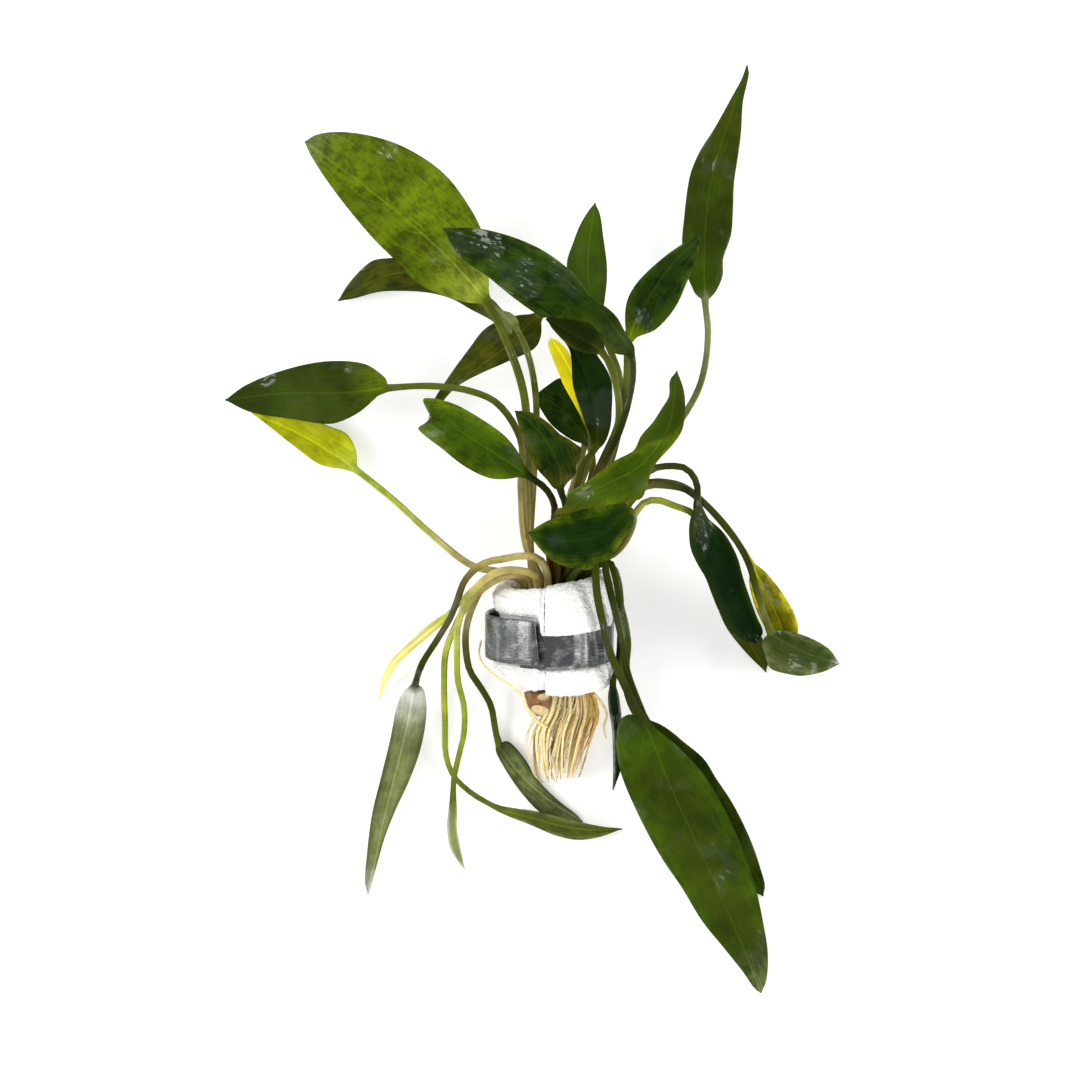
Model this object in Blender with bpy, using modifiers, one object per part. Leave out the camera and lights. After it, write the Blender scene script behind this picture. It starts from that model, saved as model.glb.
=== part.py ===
"""A bunched cryptocoryne on its side: thirty leaves, two rhizomes, roots, a foam wrap and a weight strip.

The frame is +Z up from the surface that the bunch lies on, +X to the right and +Y towards the leaf tips.
Run it with: blender --background --python part.py
"""
import math
from collections import namedtuple

import bmesh
import bpy
from mathutils import Vector

MM = 0.001

# Real size: the bunch is 232 mm from its highest leaf tip to its lowest one.
PIXELS_PER_MM = 4.0
PICTURE_CENTRE = (540.0, 540.0)
EYE_HEIGHT_MM = 700.0
BUNCH_CENTRE_MM = (-1.85, 2.74)

# The foam wrap and the weight strip share an axis that rises towards the leaves.
COLLAR_PIXEL = (553, 632)
COLLAR_TILT_DEG = 8.0
FOAM_LENGTH_MM = 26.6
FOAM_RADIUS_MM = 14.4
FOAM_THICKNESS_MM = 4.2
FOAM_PINCH_MM = 1.3
FOAM_SEAM_DEG = -8.0
FOAM_SEAM_GAP_DEG = 3.0
FOAM_SLANT_MM = 1.2
STRIP_WIDTH_MM = 11.0
STRIP_THICKNESS_MM = 0.9
STRIP_RADIUS_MM = 14.0
STRIP_GROWTH_MM = 1.4
STRIP_START_DEG = -34.0
STRIP_END_DEG = 346.0
STRIP_CENTRE_MM = -0.7
STRIP_SLANT_MM = 1.2
STRIP_BULGE_MM = 1.2
COLLAR_HEIGHT_MM = 16.05

# Petioles stand in the foam's bore side by side, in a honeycomb pattern, just above the rhizomes.
SLOT_ACROSS_MM = 1.225
SLOT_DEEP_MM = 2.12
PETIOLE_FOOT_MM = -5.0
PETIOLE_EXIT_MM = 12.0
FOOT_RADIUS_MM = 0.95
GAP_MM = 0.3

# A leaf is a loft of six-sided rings, round along the petiole and thin across the blade.
RING_SIDES = 6
STRETCH_MM = 14.0
BEND_DEG = 27.0
BLADE_STATIONS = (0.0, 0.06, 0.16, 0.28, 0.42, 0.57, 0.72, 0.86, 0.95, 1.0)
BLADE_HALF_THICKNESS_MM = 0.28
TIP_HALF_WIDTH_MM = 0.35

Leaf = namedtuple("Leaf", "name finish slot petiole blade half_width swell roll fold stem")


def leaf(name, finish, slot, petiole, blade, half_width, swell=(0.6, 0.9), roll=(0, 0), fold=8, stem=0.8):
    """One leaf. Its route points are picture pixels across and down, and the height in millimetres."""
    return Leaf(name, finish, slot, petiole, blade, half_width, swell, roll, fold, stem)


LEAVES = [
    leaf("leaf_top_left_large", "fresh", (-3, 1),
         [(531, 560, 20.7), (530, 545, 21.5), (528, 470, 24.5), (524, 395, 27.5), (508, 345, 27)],
         [(487, 303, 25), (440, 250, 21), (372, 192, 12), (305, 142, 0.6)], 11.6, (0.75, 0.75), stem=1.0),
    leaf("leaf_top_left_rear", "olive", (-4, 0),
         [(530, 545, 19), (534, 470, 19), (536, 400, 19), (529, 358, 18)],
         [(516, 329, 16), (480, 296, 12), (432, 274, 8), (385, 276, 5), (338, 301, 1.5)], 5.4),
    leaf("leaf_upper_left_rear", "olive", (-1, -3),
         [(555, 540, 11), (578, 470, 8), (592, 400, 9), (585, 340, 11), (562, 312, 12)],
         [(541, 315, 12), (503, 349, 10), (460, 382, 7), (428, 421, 4)], 5.3, (0.5, 0.9)),
    leaf("leaf_upper_centre", "dark", (3, 1),
         [(577, 545, 27), (604, 463, 35), (620, 430, 38), (631, 390, 40), (633, 370, 41)],
         [(631, 354, 42), (608, 318, 44), (572, 285, 44), (520, 256, 40), (443, 228, 31)], 7.3, (0.6, 0.85)),
    leaf("leaf_top_centre_rear", "dark", (1, -1),
         [(566, 545, 17.5), (578, 520, 18.5), (598, 470, 20), (619, 420, 22.5), (620, 378, 23),
          (607, 343, 22)],
         [(594, 312, 18), (588, 262, 14), (595, 203, 10)], 5.3, (0.6, 0.8)),
    leaf("leaf_upper_right", "fresh", (3, -1),
         [(575, 545, 19.5), (584, 520, 22), (606, 475, 27), (619, 430, 30), (626, 385, 32), (627, 360, 32)],
         [(628, 342, 31), (644, 307, 28), (665, 274, 22), (700, 236, 16)], 5.8, (0.55, 0.75)),
    leaf("leaf_top_right", "dark", (2, -2),
         [(570, 571, 14.3), (582, 557, 15.6), (593, 543, 17.5), (622, 490, 21), (672, 432, 20),
          (700, 385, 15), (708, 335, 11)],
         [(705, 299, 8), (706, 220, 6), (714, 170, 5), (732, 111, 3), (747, 65, 0.6)], 6.4, (0.55, 0.95)),
    leaf("leaf_left", "fresh", (-2, 2),
         [(536, 568, 23.4), (526, 545, 25.2), (521, 490, 27.5), (521, 441, 29), (498, 404, 28),
          (470, 391, 26), (430, 386, 23)],
         [(388, 388, 19), (340, 393, 14), (285, 393, 8), (225, 400, 0.6)], 7.8, (0.5, 0.75)),
    leaf("leaf_left_yellow", "lime", (-6, 0),
         [(505, 573, 17.5), (473, 566, 15.5), (430, 533, 10.5), (395, 501, 7)],
         [(355, 469, 4), (330, 452, 3.4), (295, 432, 2.2), (252, 413, 0.6)], 5.0, (0.45, 1.0)),
    leaf("leaf_notched", "fresh", (0, 2),
         [(550, 565, 24.5), (550, 545, 27), (554, 520, 29.8), (554, 504, 32.3), (546, 489, 34)],
         [(527, 475, 35), (490, 450, 36), (455, 428, 34), (422, 411, 31)], 6.2, (0.6, 0.4)),
    leaf("leaf_small_lobed", "dark", (1, 1),
         [(563, 545, 23.5), (566, 520, 27), (565, 503, 33.5)],
         [(560, 488, 37), (560, 470, 38), (550, 447, 39), (532, 424, 39), (515, 411, 38)], 5.2, (0.5, 0.8)),
    leaf("leaf_centre", "dark", (2, 0),
         [(570, 545, 21.5), (574, 520, 25), (578, 480, 30), (584, 462, 32)],
         [(596, 447, 33), (592, 400, 34), (574, 350, 33), (547, 318, 31)], 4.9, (0.45, 0.7)),
    leaf("leaf_centre_olive", "olive", (4, 0),
         [(585, 540, 22.5), (598, 490, 29.5), (615, 440, 33), (619, 412, 35.5), (616, 385, 36.5),
          (610, 366, 37.5)],
         [(602, 352, 38), (580, 338, 37.5), (546, 319, 36)], 4.2, (0.5, 0.8)),
    leaf("leaf_centre_yellow", "yellow", (-1, -1),
         [(555, 545, 18), (564, 520, 20.5), (586, 470, 23), (592, 445, 24)],
         [(590, 428, 24.5), (580, 392, 25), (566, 362, 25), (551, 338, 24)], 2.9, (0.6, 0.7)),
    leaf("leaf_centre_rear", "dark", (0, -2),
         [(558, 560, 14.5), (572, 520, 14.5), (592, 475, 15)],
         [(590, 446, 15.5), (575, 422, 16), (556, 405, 15), (534, 396, 13)], 5.6, (0.45, 0.7)),
    leaf("leaf_front", "fresh", (1, 3),
         [(557, 566, 26.3), (558, 545, 28.8), (556, 519, 32.8), (558, 512, 35.3)],
         [(565, 511, 37.3), (600, 487, 41.5), (640, 466, 43.5), (668, 428, 41.5), (677, 371, 37)],
         6.3, (0.65, 0.8), roll=(0, 30)),
    leaf("leaf_over_foam", "dark", (6, 0),
         [(584, 575, 18.6), (590, 565, 19), (602, 559, 20.3), (613, 555, 22.5), (625, 543, 27),
          (634, 522, 31.5)],
         [(631, 511, 35), (600, 535, 36.5), (565, 541, 35.5), (528, 533, 33.5)], 7.0, (0.4, 0.65), fold=3),
    leaf("leaf_right_hanging", "dark", (5, -1),
         [(584, 572, 16.3), (596, 556, 17), (612, 530, 22), (632, 490, 28), (653, 469, 29.5),
          (671, 466, 29.3), (685, 468, 28.5), (694, 477, 27.5), (698, 491, 26)],
         [(697, 503, 24.5), (712, 545, 20), (728, 585, 15.5), (742, 615, 11.5), (757, 643, 8)],
         5.2, (0.9, 0.65), roll=(30, 20)),
    leaf("leaf_right_green", "fresh", (3, -3),
         [(570, 573, 12.4), (587, 562, 11.6), (603, 557, 11.8), (613, 546, 16), (624, 532, 20),
          (636, 512, 24.5), (645, 502, 26), (657, 500, 26), (675, 506, 24), (692, 513, 21), (705, 535, 15)],
         [(714, 560, 11.5), (727, 595, 8), (743, 632, 4.6), (766, 672, 0.6)], 4.5, (0.5, 0.8)),
    leaf("leaf_right_yellow", "yellow", (1, -3),
         [(560, 572, 12.3), (572, 556, 13.3), (604, 530, 15.5), (628, 500, 20), (647, 483, 22.5),
          (671, 483, 22.5), (688, 489, 20), (703, 502, 17), (728, 530, 15.5), (744, 552, 13.5)],
         [(752, 566, 12), (768, 595, 8.5), (780, 622, 5), (789, 648, 2.5)], 4.6, (0.5, 0.6)),
    leaf("leaf_right_grey", "grey", (4, -2),
         [(580, 574, 13.6), (592, 558, 13.8), (610, 532, 17.5), (628, 505, 23), (647, 486, 26.5),
          (671, 486, 26), (685, 489, 24), (694, 495, 21.5), (703, 502, 20), (716, 515, 20.3),
          (728, 529, 21), (741, 548, 20.5), (750, 567, 18.5), (757, 592, 16.5), (766, 620, 12.5)],
         [(770, 632, 11), (800, 650, 6.5), (840, 664, 0.6)], 4.9, (0.4, 0.7)),
    leaf("leaf_lower_right_large", "fresh", (2, 2),
         [(570, 568, 26), (577, 552, 30), (587, 547, 33), (594, 560, 33.5), (597, 594, 32),
          (603, 623, 30.5), (611, 655, 28), (624, 684, 24), (636, 709, 20)],
         [(643, 720, 18.5), (672, 790, 14), (708, 868, 8.5), (740, 940, 3.5), (761, 993, 0.6)],
         10.8, (0.5, 0.7), stem=0.95),
    leaf("leaf_lower_right_rear", "dark", (3, 3),
         [(574, 574, 26.8), (585, 563, 28.5), (597, 557, 29.8), (604, 562, 30), (606, 572, 29.8),
          (611, 594, 29), (620, 631, 26), (627, 670, 22), (640, 706, 16)],
         [(647, 722, 14), (670, 760, 11), (702, 803, 7.5), (737, 852, 3.5), (763, 896, 0.6)],
         6.0, (0.5, 0.7)),
    leaf("leaf_right_edge_on", "fresh", (4, 2),
         [(584, 574, 24.5), (598, 563, 26.3), (609, 561, 27.3), (614, 572, 27), (618, 592, 25)],
         [(620, 604, 23.5), (627, 640, 19), (626, 672, 12.5), (634, 705, 8), (645, 733, 5.5)],
         2.8, (0.5, 0.7), roll=(65, 30)),
    leaf("leaf_below_foam_right", "dark", (5, 1),
         [(586, 575, 21.5), (600, 564, 23), (611, 564, 23.5), (617, 576, 23), (621, 600, 20.5),
          (620, 630, 17), (619, 652, 17), (617, 668, 18.5)],
         [(613, 681, 21), (612, 697, 19), (617, 730, 9), (619, 765, 4.5), (613, 790, 2)], 2.6, (0.5, 0.8),
         roll=(50, 40), stem=0.65),
    leaf("leaf_lower_left_grey", "grey", (-1, 3),
         [(546, 570, 28), (538, 558, 30), (520, 556, 29.5), (503, 559, 28), (487, 562, 27), (474, 570, 25),
          (464, 582, 22.5), (457, 601, 19.5), (450, 618, 16.5), (437, 640, 13), (422, 664, 9)],
         [(415, 685, 6.5), (405, 735, 5), (385, 815, 3), (368, 895, 0.6)], 5.4, (0.5, 0.9)),
    leaf("leaf_lower_left_cream", "cream", (-5, -1),
         [(518, 572, 15), (500, 574, 13), (480, 584, 12), (462, 600, 10.5)],
         [(447, 616, 9), (420, 638, 6.5), (392, 665, 4), (379, 701, 0.6)], 1.4, (0.5, 0.5), stem=0.7),
    leaf("leaf_lower_left_edge_on", "cream", (-3, 3),
         [(533, 574, 28), (516, 570, 29), (500, 571, 28.8), (484, 580, 27), (468, 598, 23.5),
          (458, 625, 19.5), (457, 647, 15.5), (458, 681, 11), (464, 707, 8), (464, 733, 7), (459, 755, 6.7),
          (454, 778, 6)],
         [(453, 798, 5), (452, 827, 4.2), (457, 855, 3.4), (465, 870, 2.4)], 2.1, (0.6, 0.7), roll=(55, 50),
         stem=0.7),
    leaf("leaf_lower_left_olive", "olive", (-4, 2),
         [(527, 576, 25), (510, 575, 25.5), (488, 585, 23), (467, 605, 18.5), (456, 625, 15),
          (446, 651, 11), (444, 681, 7.5), (445, 723, 4), (446, 755, 2.6), (453, 775, 2.2), (470, 792, 2.2),
          (486, 802, 2.8)],
         [(500, 809, 3.2), (535, 819, 4.2), (578, 829, 3.6), (622, 829, 0.8)], 2.9, (0.5, 0.6), stem=0.7),
    leaf("leaf_lower_left_folded", "grey", (-5, 1),
         [(520, 578, 22.5), (508, 576, 22.5), (488, 582, 20.5), (474, 603, 16), (466, 630, 11),
          (466, 651, 8.5), (470, 671, 6.5), (481, 688, 5), (491, 706, 3.6), (495, 728, 2.3)],
         [(499, 744, 1.8), (515, 769, 1.5), (545, 797, 1.2), (583, 822, 0.6)], 3.2, (0.5, 0.7)),
]


def to_frame(across_px, down_px, height_mm):
    """Where a picture point lies, in millimetres, if it is that high above the surface."""
    scale = (EYE_HEIGHT_MM - height_mm) / EYE_HEIGHT_MM / PIXELS_PER_MM
    return Vector(((across_px - PICTURE_CENTRE[0]) * scale - BUNCH_CENTRE_MM[0],
                   (PICTURE_CENTRE[1] - down_px) * scale - BUNCH_CENTRE_MM[1], height_mm))


COLLAR_CENTRE = to_frame(*COLLAR_PIXEL, COLLAR_HEIGHT_MM)
COLLAR_TILT = math.radians(COLLAR_TILT_DEG)
ACROSS = Vector((1, 0, 0))
ALONG = Vector((0, math.cos(COLLAR_TILT), math.sin(COLLAR_TILT)))
OUT = Vector((0, -math.sin(COLLAR_TILT), math.cos(COLLAR_TILT)))


def in_collar(across, along, out):
    return COLLAR_CENTRE + ACROSS * across + ALONG * along + OUT * out


def around_collar(angle_deg, radius, along):
    """A point about the collar's axis. Zero degrees faces up and 90 degrees faces right."""
    angle = math.radians(angle_deg)
    return in_collar(radius * math.sin(angle), along, radius * math.cos(angle))


def smooth_step(value):
    value = min(max(value, 0.0), 1.0)
    return value * value * (3 - 2 * value)


def spline_point(a, b, c, d, share):
    """A Catmull-Rom curve from b to c, with centripetal spacing."""
    knots = [0.0]
    for first, second in ((a, b), (b, c), (c, d)):
        knots.append(knots[-1] + math.sqrt((second - first).length))
    t = knots[1] + share * (knots[2] - knots[1])

    def blend(p, q, start, end):
        return p.lerp(q, (t - start) / (end - start))

    ab = blend(a, b, knots[0], knots[1])
    bc = blend(b, c, knots[1], knots[2])
    cd = blend(c, d, knots[2], knots[3])
    return blend(blend(ab, bc, knots[0], knots[2]), blend(bc, cd, knots[1], knots[3]), knots[1], knots[2])


def spline(points, steps):
    """A fine polyline through the points."""
    padded = [points[0] * 2 - points[1], *points, points[-1] * 2 - points[-2]]
    line = [points[0]]
    for index in range(len(points) - 1):
        line += [spline_point(*padded[index:index + 4], (step + 1) / steps) for step in range(steps)]
    return line


def lengths_along(line):
    total = [0.0]
    for first, second in zip(line, line[1:]):
        total.append(total[-1] + (second - first).length)
    return total


def point_at(line, totals, wanted):
    """The point of a polyline where its running total reaches the wanted value."""
    for index in range(1, len(line)):
        if totals[index] >= wanted or index == len(line) - 1:
            share = (wanted - totals[index - 1]) / max(totals[index] - totals[index - 1], 1e-9)
            return line[index - 1].lerp(line[index], share)


def spaced_by_bend(line):
    """Points of a polyline, closer together where it bends more."""
    totals = [0.0]
    for index in range(1, len(line)):
        bend = 0.0
        if index < len(line) - 1:
            bend = math.degrees((line[index] - line[index - 1]).angle(line[index + 1] - line[index]))
        totals.append(totals[-1] + (line[index] - line[index - 1]).length / STRETCH_MM + bend / BEND_DEG)
    count = math.ceil(totals[-1])
    return [point_at(line, totals, totals[-1] * step / count) for step in range(count)]


def leaf_centre_line(spec):
    """(points of the petiole, points of the blade) in millimetres."""
    slot_across, slot_out = spec.slot[0] * SLOT_ACROSS_MM, spec.slot[1] * SLOT_DEEP_MM
    feet = [in_collar(slot_across, along, slot_out) for along in (PETIOLE_FOOT_MM, 4.0, PETIOLE_EXIT_MM)]
    route = feet + [to_frame(*point) for point in spec.petiole + spec.blade]
    steps = 16
    line = spline(route, steps)
    joint = (len(feet) + len(spec.petiole)) * steps
    blade = line[joint:]
    totals = lengths_along(blade)
    return (spaced_by_bend(line[:joint + 1]),
            [point_at(blade, totals, totals[-1] * station) for station in BLADE_STATIONS])


def tangents(points):
    ends = [points[0], *points, points[-1]]
    return [(after - before).normalized() for before, after in zip(ends, ends[2:])]


def upright(direction, tangent):
    return (direction - tangent * direction.dot(tangent)).normalized()


def leaf_rings(spec):
    """The leaf's cross-sections, from the foot of the petiole to the tip."""
    petiole, blade = leaf_centre_line(spec)
    points = petiole + blade
    directions = tangents(points)
    first = len(petiole)
    normals = [None] * first + [upright(Vector((0, 0, 1)), tangent) for tangent in directions[first:]]
    for index in range(first - 1, -1, -1):
        normals[index] = upright(normals[index + 1], directions[index])
    swell_in, swell_out = spec.swell
    peak = swell_in / (swell_in + swell_out)
    widest = peak ** swell_in * (1 - peak) ** swell_out
    foot_count = max(first - 1, 1)
    rings = []
    for index, (point, tangent, normal) in enumerate(zip(points, directions, normals)):
        if index < first:
            half_width = half_thickness = FOOT_RADIUS_MM + (spec.stem - FOOT_RADIUS_MM) * index / foot_count
            rise = 0.0
            roll = spec.roll[0]
        else:
            station = BLADE_STATIONS[index - first]
            shape = station ** swell_in * (1 - station) ** swell_out / widest
            flat = smooth_step(station / 0.3)
            end = spec.stem + (TIP_HALF_WIDTH_MM - spec.stem) * station
            half_width = max(spec.half_width * shape, end)
            half_thickness = spec.stem + (BLADE_HALF_THICKNESS_MM - spec.stem) * flat
            rise = math.tan(math.radians(spec.fold)) * flat
            roll = spec.roll[0] + (spec.roll[1] - spec.roll[0]) * station
        side = tangent.cross(normal)
        turn = math.radians(roll)
        across = side * math.cos(turn) + normal * math.sin(turn)
        up = normal * math.cos(turn) - side * math.sin(turn)
        ring = []
        for corner in range(RING_SIDES):
            angle = 2 * math.pi * corner / RING_SIDES
            offset = half_width * math.cos(angle)
            height = half_thickness * math.sin(angle) + abs(offset) * rise
            ring.append(point + across * offset + up * height)
        rings.append(ring)
    return rings


def new_object(name, mesh, material, collection):
    mesh.materials.append(material)
    made = bpy.data.objects.new(name, mesh)
    collection.objects.link(made)
    return made


def mesh_of(name, build):
    """A mesh from a function that fills a bmesh in millimetres."""
    shape = bmesh.new()
    build(shape)
    bmesh.ops.scale(shape, vec=(MM, MM, MM), verts=shape.verts)
    bmesh.ops.recalc_face_normals(shape, faces=shape.faces)
    for face in shape.faces:
        face.smooth = True
    mesh = bpy.data.meshes.new(name)
    shape.to_mesh(mesh)
    shape.free()
    return mesh


def loft(shape, rings):
    """A closed skin over rings of equal count, with a flat cap at each end."""
    rows = [[shape.verts.new(point) for point in ring] for ring in rings]
    for row, following in zip(rows, rows[1:]):
        for side in range(len(row)):
            after = (side + 1) % len(row)
            shape.faces.new((row[side], row[after], following[after], following[side]))
    shape.faces.new(rows[0])
    shape.faces.new(rows[-1])


def sheet(shape, rows):
    """An open surface over a grid of points."""
    grid = [[shape.verts.new(point) for point in row] for row in rows]
    for row, following in zip(grid, grid[1:]):
        for column in range(len(row) - 1):
            shape.faces.new((row[column], row[column + 1], following[column + 1], following[column]))


def add_solidify(made, thickness_mm, offset):
    solidify = made.modifiers.new("Thickness", "SOLIDIFY")
    solidify.thickness = thickness_mm * MM
    solidify.offset = offset
    solidify.use_even_offset = False


def hex_to_linear(code):
    channels = [int(code[index:index + 2], 16) / 255 for index in (1, 3, 5)]
    return [c / 12.92 if c <= 0.04045 else ((c + 0.055) / 1.055) ** 2.4 for c in channels]


def surface(name, colour, roughness, metallic=0.0):
    material = bpy.data.materials.new(name)
    material.use_nodes = True
    shader = material.node_tree.nodes["Principled BSDF"]
    shader.inputs["Base Color"].default_value = (*hex_to_linear(colour), 1)
    shader.inputs["Roughness"].default_value = roughness
    shader.inputs["Metallic"].default_value = metallic
    material.diffuse_color = (*hex_to_linear(colour), 1)
    return material


LEAF_COLOURS = {"fresh": "#3F6F12", "dark": "#1C3F0C", "olive": "#4F5215", "lime": "#A9B824",
                "yellow": "#CFC41C", "grey": "#637650", "cream": "#DCCF7C"}


def add_leaves(collection):
    finishes = {name: surface(f"leaf_{name}", colour, 0.3) for name, colour in LEAF_COLOURS.items()}
    for spec in LEAVES:
        rings = leaf_rings(spec)
        mesh = mesh_of(spec.name, lambda shape, rings=rings: loft(shape, rings))
        new_object(spec.name, mesh, finishes[spec.finish], collection)


def add_foam(collection):
    """The sheet of foam, rolled about the petioles with its seam at the front and pinched by the strip."""
    around, half = 26, FOAM_LENGTH_MM / 2
    pinch = STRIP_WIDTH_MM / 2 + STRIP_SLANT_MM / 2 + GAP_MM
    low, high = STRIP_CENTRE_MM - pinch, STRIP_CENTRE_MM + pinch
    stations = (-half, low - FOAM_PINCH_MM, low, high, high + FOAM_PINCH_MM, half)
    start = FOAM_SEAM_DEG + FOAM_SEAM_GAP_DEG / 2
    sweep = 360 - FOAM_SEAM_GAP_DEG
    rows = []
    for along in stations:
        radius = FOAM_RADIUS_MM - (FOAM_PINCH_MM if low <= along <= high else 0.0)
        row = []
        for step in range(around + 1):
            angle = start + sweep * step / around
            slant = FOAM_SLANT_MM * math.sin(math.radians(angle)) if along == half else 0.0
            row.append(around_collar(angle, radius, along + slant))
        rows.append(row)
    mesh = mesh_of("foam_wrap", lambda shape: sheet(shape, rows))
    made = new_object("foam_wrap", mesh, surface("foam", "#F2F0EC", 0.95), collection)
    add_solidify(made, FOAM_THICKNESS_MM, -1)


def strip_radius(share, angle_deg):
    """The strip's middle, which winds outwards and stands off the foam on the left."""
    bulge = STRIP_BULGE_MM * smooth_step(1 - abs(angle_deg - 285) / 55)
    return STRIP_RADIUS_MM + STRIP_GROWTH_MM * share + bulge


def add_strip(collection):
    """The strip of weight metal, wound once around the foam with its ends overlapping at the front."""
    steps = 40
    rows = [[], []]
    for step in range(steps + 1):
        share = step / steps
        angle = STRIP_START_DEG + (STRIP_END_DEG - STRIP_START_DEG) * share
        middle = STRIP_CENTRE_MM + STRIP_SLANT_MM * (share - 0.5)
        for row, side in zip(rows, (-1, 1)):
            row.append(around_collar(angle, strip_radius(share, angle), middle + side * STRIP_WIDTH_MM / 2))
    mesh = mesh_of("weight_strip", lambda shape: sheet(shape, rows))
    made = new_object("weight_strip", mesh, surface("weight_metal", "#5A626C", 0.35, 1.0), collection)
    add_solidify(made, STRIP_THICKNESS_MM, 0)


# Rhizomes are short and knobbly. Each ring is (along, across, out, radius) in the collar's own axes.
RHIZOME_TOP_MM = PETIOLE_FOOT_MM - GAP_MM
RHIZOMES = {
    "rhizome_left": [(RHIZOME_TOP_MM, -4.6, 2.6, 3.4), (-9.0, -4.4, 3.2, 3.7), (-14.5, -3.6, 3.8, 3.2),
                     (-18.0, -3.2, 4.0, 2.7), (-19.6, -3.0, 4.0, 1.4)],
    "rhizome_right": [(RHIZOME_TOP_MM, 4.2, -1.0, 4.2), (-9.0, 4.6, -1.2, 4.0), (-12.8, 5.0, -1.4, 3.2),
                      (-13.9, 5.0, -1.4, 1.6)],
}
RHIZOME_SIDES = 9


def add_rhizomes(collection):
    bark = surface("rhizome", "#8A5A20", 0.7)
    for name, stations in RHIZOMES.items():
        rings = []
        for along, across, out, radius in stations:
            turns = [2 * math.pi * side / RHIZOME_SIDES for side in range(RHIZOME_SIDES)]
            rings.append([in_collar(across + radius * math.cos(turn), along, out + radius * math.sin(turn))
                          for turn in turns])
        mesh = mesh_of(name, lambda shape, rings=rings: loft(shape, rings))
        new_object(name, mesh, bark, collection)


# The root clump's outer form. Each ring is a picture point, its height, half width and half depth.
ROOT_CLUMP = [((575, 696), 11.5, 4.2, 3.6), ((570, 712), 9.2, 7.2, 4.0), ((562, 732), 7.6, 7.6, 4.0),
              ((556, 756), 5.4, 6.4, 3.2), ((557, 775), 3.4, 5.0, 2.0), ((558, 783), 2.2, 2.6, 1.2)]
ROOT_CLUMP_SIDES = 12

STRAY_ROOTS = {
    "root_stray_left": [(536, 722, 14), (526, 706, 24), (522, 695, 28.5), (511, 686, 27.6), (497, 677, 25.5),
                        (485, 667, 23.2), (479, 654, 17.5), (481, 641, 11.5)],
    "root_stray_right": [(594, 694, 12.5), (602, 703, 10), (607, 715, 7.5), (604, 727, 5), (606, 738, 2.2)],
}
STRAY_ROOT_RADIUS_MM = 0.45


def add_roots(collection):
    pale = surface("root", "#E0C890", 0.5)
    rings = []
    for pixel, height, half_width, half_depth in ROOT_CLUMP:
        centre = to_frame(*pixel, height)
        turns = [2 * math.pi * side / ROOT_CLUMP_SIDES for side in range(ROOT_CLUMP_SIDES)]
        rings.append([centre + Vector((half_width * math.cos(turn), 0, half_depth * math.sin(turn)))
                      for turn in turns])
    new_object("root_clump", mesh_of("root_clump", lambda shape: loft(shape, rings)), pale, collection)
    for name, route in STRAY_ROOTS.items():
        add_stray_root(name, [to_frame(*point) for point in route], pale, collection)


def add_stray_root(name, route, material, collection):
    """A lone root, as a thin round tube through its route."""
    curve = bpy.data.curves.new(name, "CURVE")
    curve.dimensions = "3D"
    curve.bevel_depth = STRAY_ROOT_RADIUS_MM * MM
    curve.bevel_resolution = 1
    curve.use_fill_caps = True
    points = spline(route, 3)
    path = curve.splines.new("POLY")
    path.points.add(len(points) - 1)
    for slot, point in zip(path.points, points):
        slot.co = (*(point * MM), 1)
    curve.materials.append(material)
    collection.objects.link(bpy.data.objects.new(name, curve))


def main():
    for old in list(bpy.data.objects):
        bpy.data.objects.remove(old, do_unlink=True)
    collection = bpy.data.collections.new("cryptocoryne")
    bpy.context.scene.collection.children.link(collection)
    add_leaves(collection)
    add_foam(collection)
    add_strip(collection)
    add_rhizomes(collection)
    add_roots(collection)


main()
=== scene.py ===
"""The look of a bunched cryptocoryne that lies on a pale table, seen from straight above."""
import math
import random
from collections import namedtuple

import bmesh
import bpy
from bpy.props import FloatProperty, FloatVectorProperty, IntProperty, PointerProperty
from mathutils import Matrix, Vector, noise


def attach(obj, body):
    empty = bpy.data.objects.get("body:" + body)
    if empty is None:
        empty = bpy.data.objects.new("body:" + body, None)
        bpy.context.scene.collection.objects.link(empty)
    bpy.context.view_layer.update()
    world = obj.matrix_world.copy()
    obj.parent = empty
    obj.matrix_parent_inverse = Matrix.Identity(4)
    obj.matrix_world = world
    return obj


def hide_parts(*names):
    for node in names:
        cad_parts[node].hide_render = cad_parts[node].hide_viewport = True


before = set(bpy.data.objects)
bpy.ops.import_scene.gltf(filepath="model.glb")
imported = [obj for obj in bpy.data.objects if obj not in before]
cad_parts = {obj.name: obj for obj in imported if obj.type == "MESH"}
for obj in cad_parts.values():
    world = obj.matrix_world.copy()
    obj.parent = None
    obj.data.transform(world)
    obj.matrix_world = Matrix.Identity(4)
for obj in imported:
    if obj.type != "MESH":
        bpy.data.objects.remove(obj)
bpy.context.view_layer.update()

bl_info = {
    "name": "Cryptocoryne bunch",
    "version": (1, 0, 0),
    "blender": (4, 5, 0),
    "location": "View3D > Sidebar > Cryptocoryne",
    "description": "Makes the leaves, foam wrap, weight strip, rhizomes and roots of an aquarium plant bunch",
    "category": "Object",
}

MM = 0.001
BODY = "root"

# The camera's picture: pixels across and down, and how they lie on the table.
PIXELS_PER_MM = 4.0
PICTURE_CENTRE = (540.0, 540.0)
EYE_HEIGHT_MM = 700.0
BUNCH_CENTRE_MM = (-1.85, 2.74)

# The foam wrap and the strip share an axis that rises towards the leaves.
COLLAR_PIXEL = (553, 632)
COLLAR_HEIGHT_MM = 16.05
COLLAR_TILT = math.radians(8.0)
SLOT_ACROSS_MM = 1.225
SLOT_DEEP_MM = 2.12
PETIOLE_STATIONS_MM = (-5.0, 4.0, 12.0)
FOOT_RADIUS_MM = 0.95
MERGE_MM = 0.0005


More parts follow.
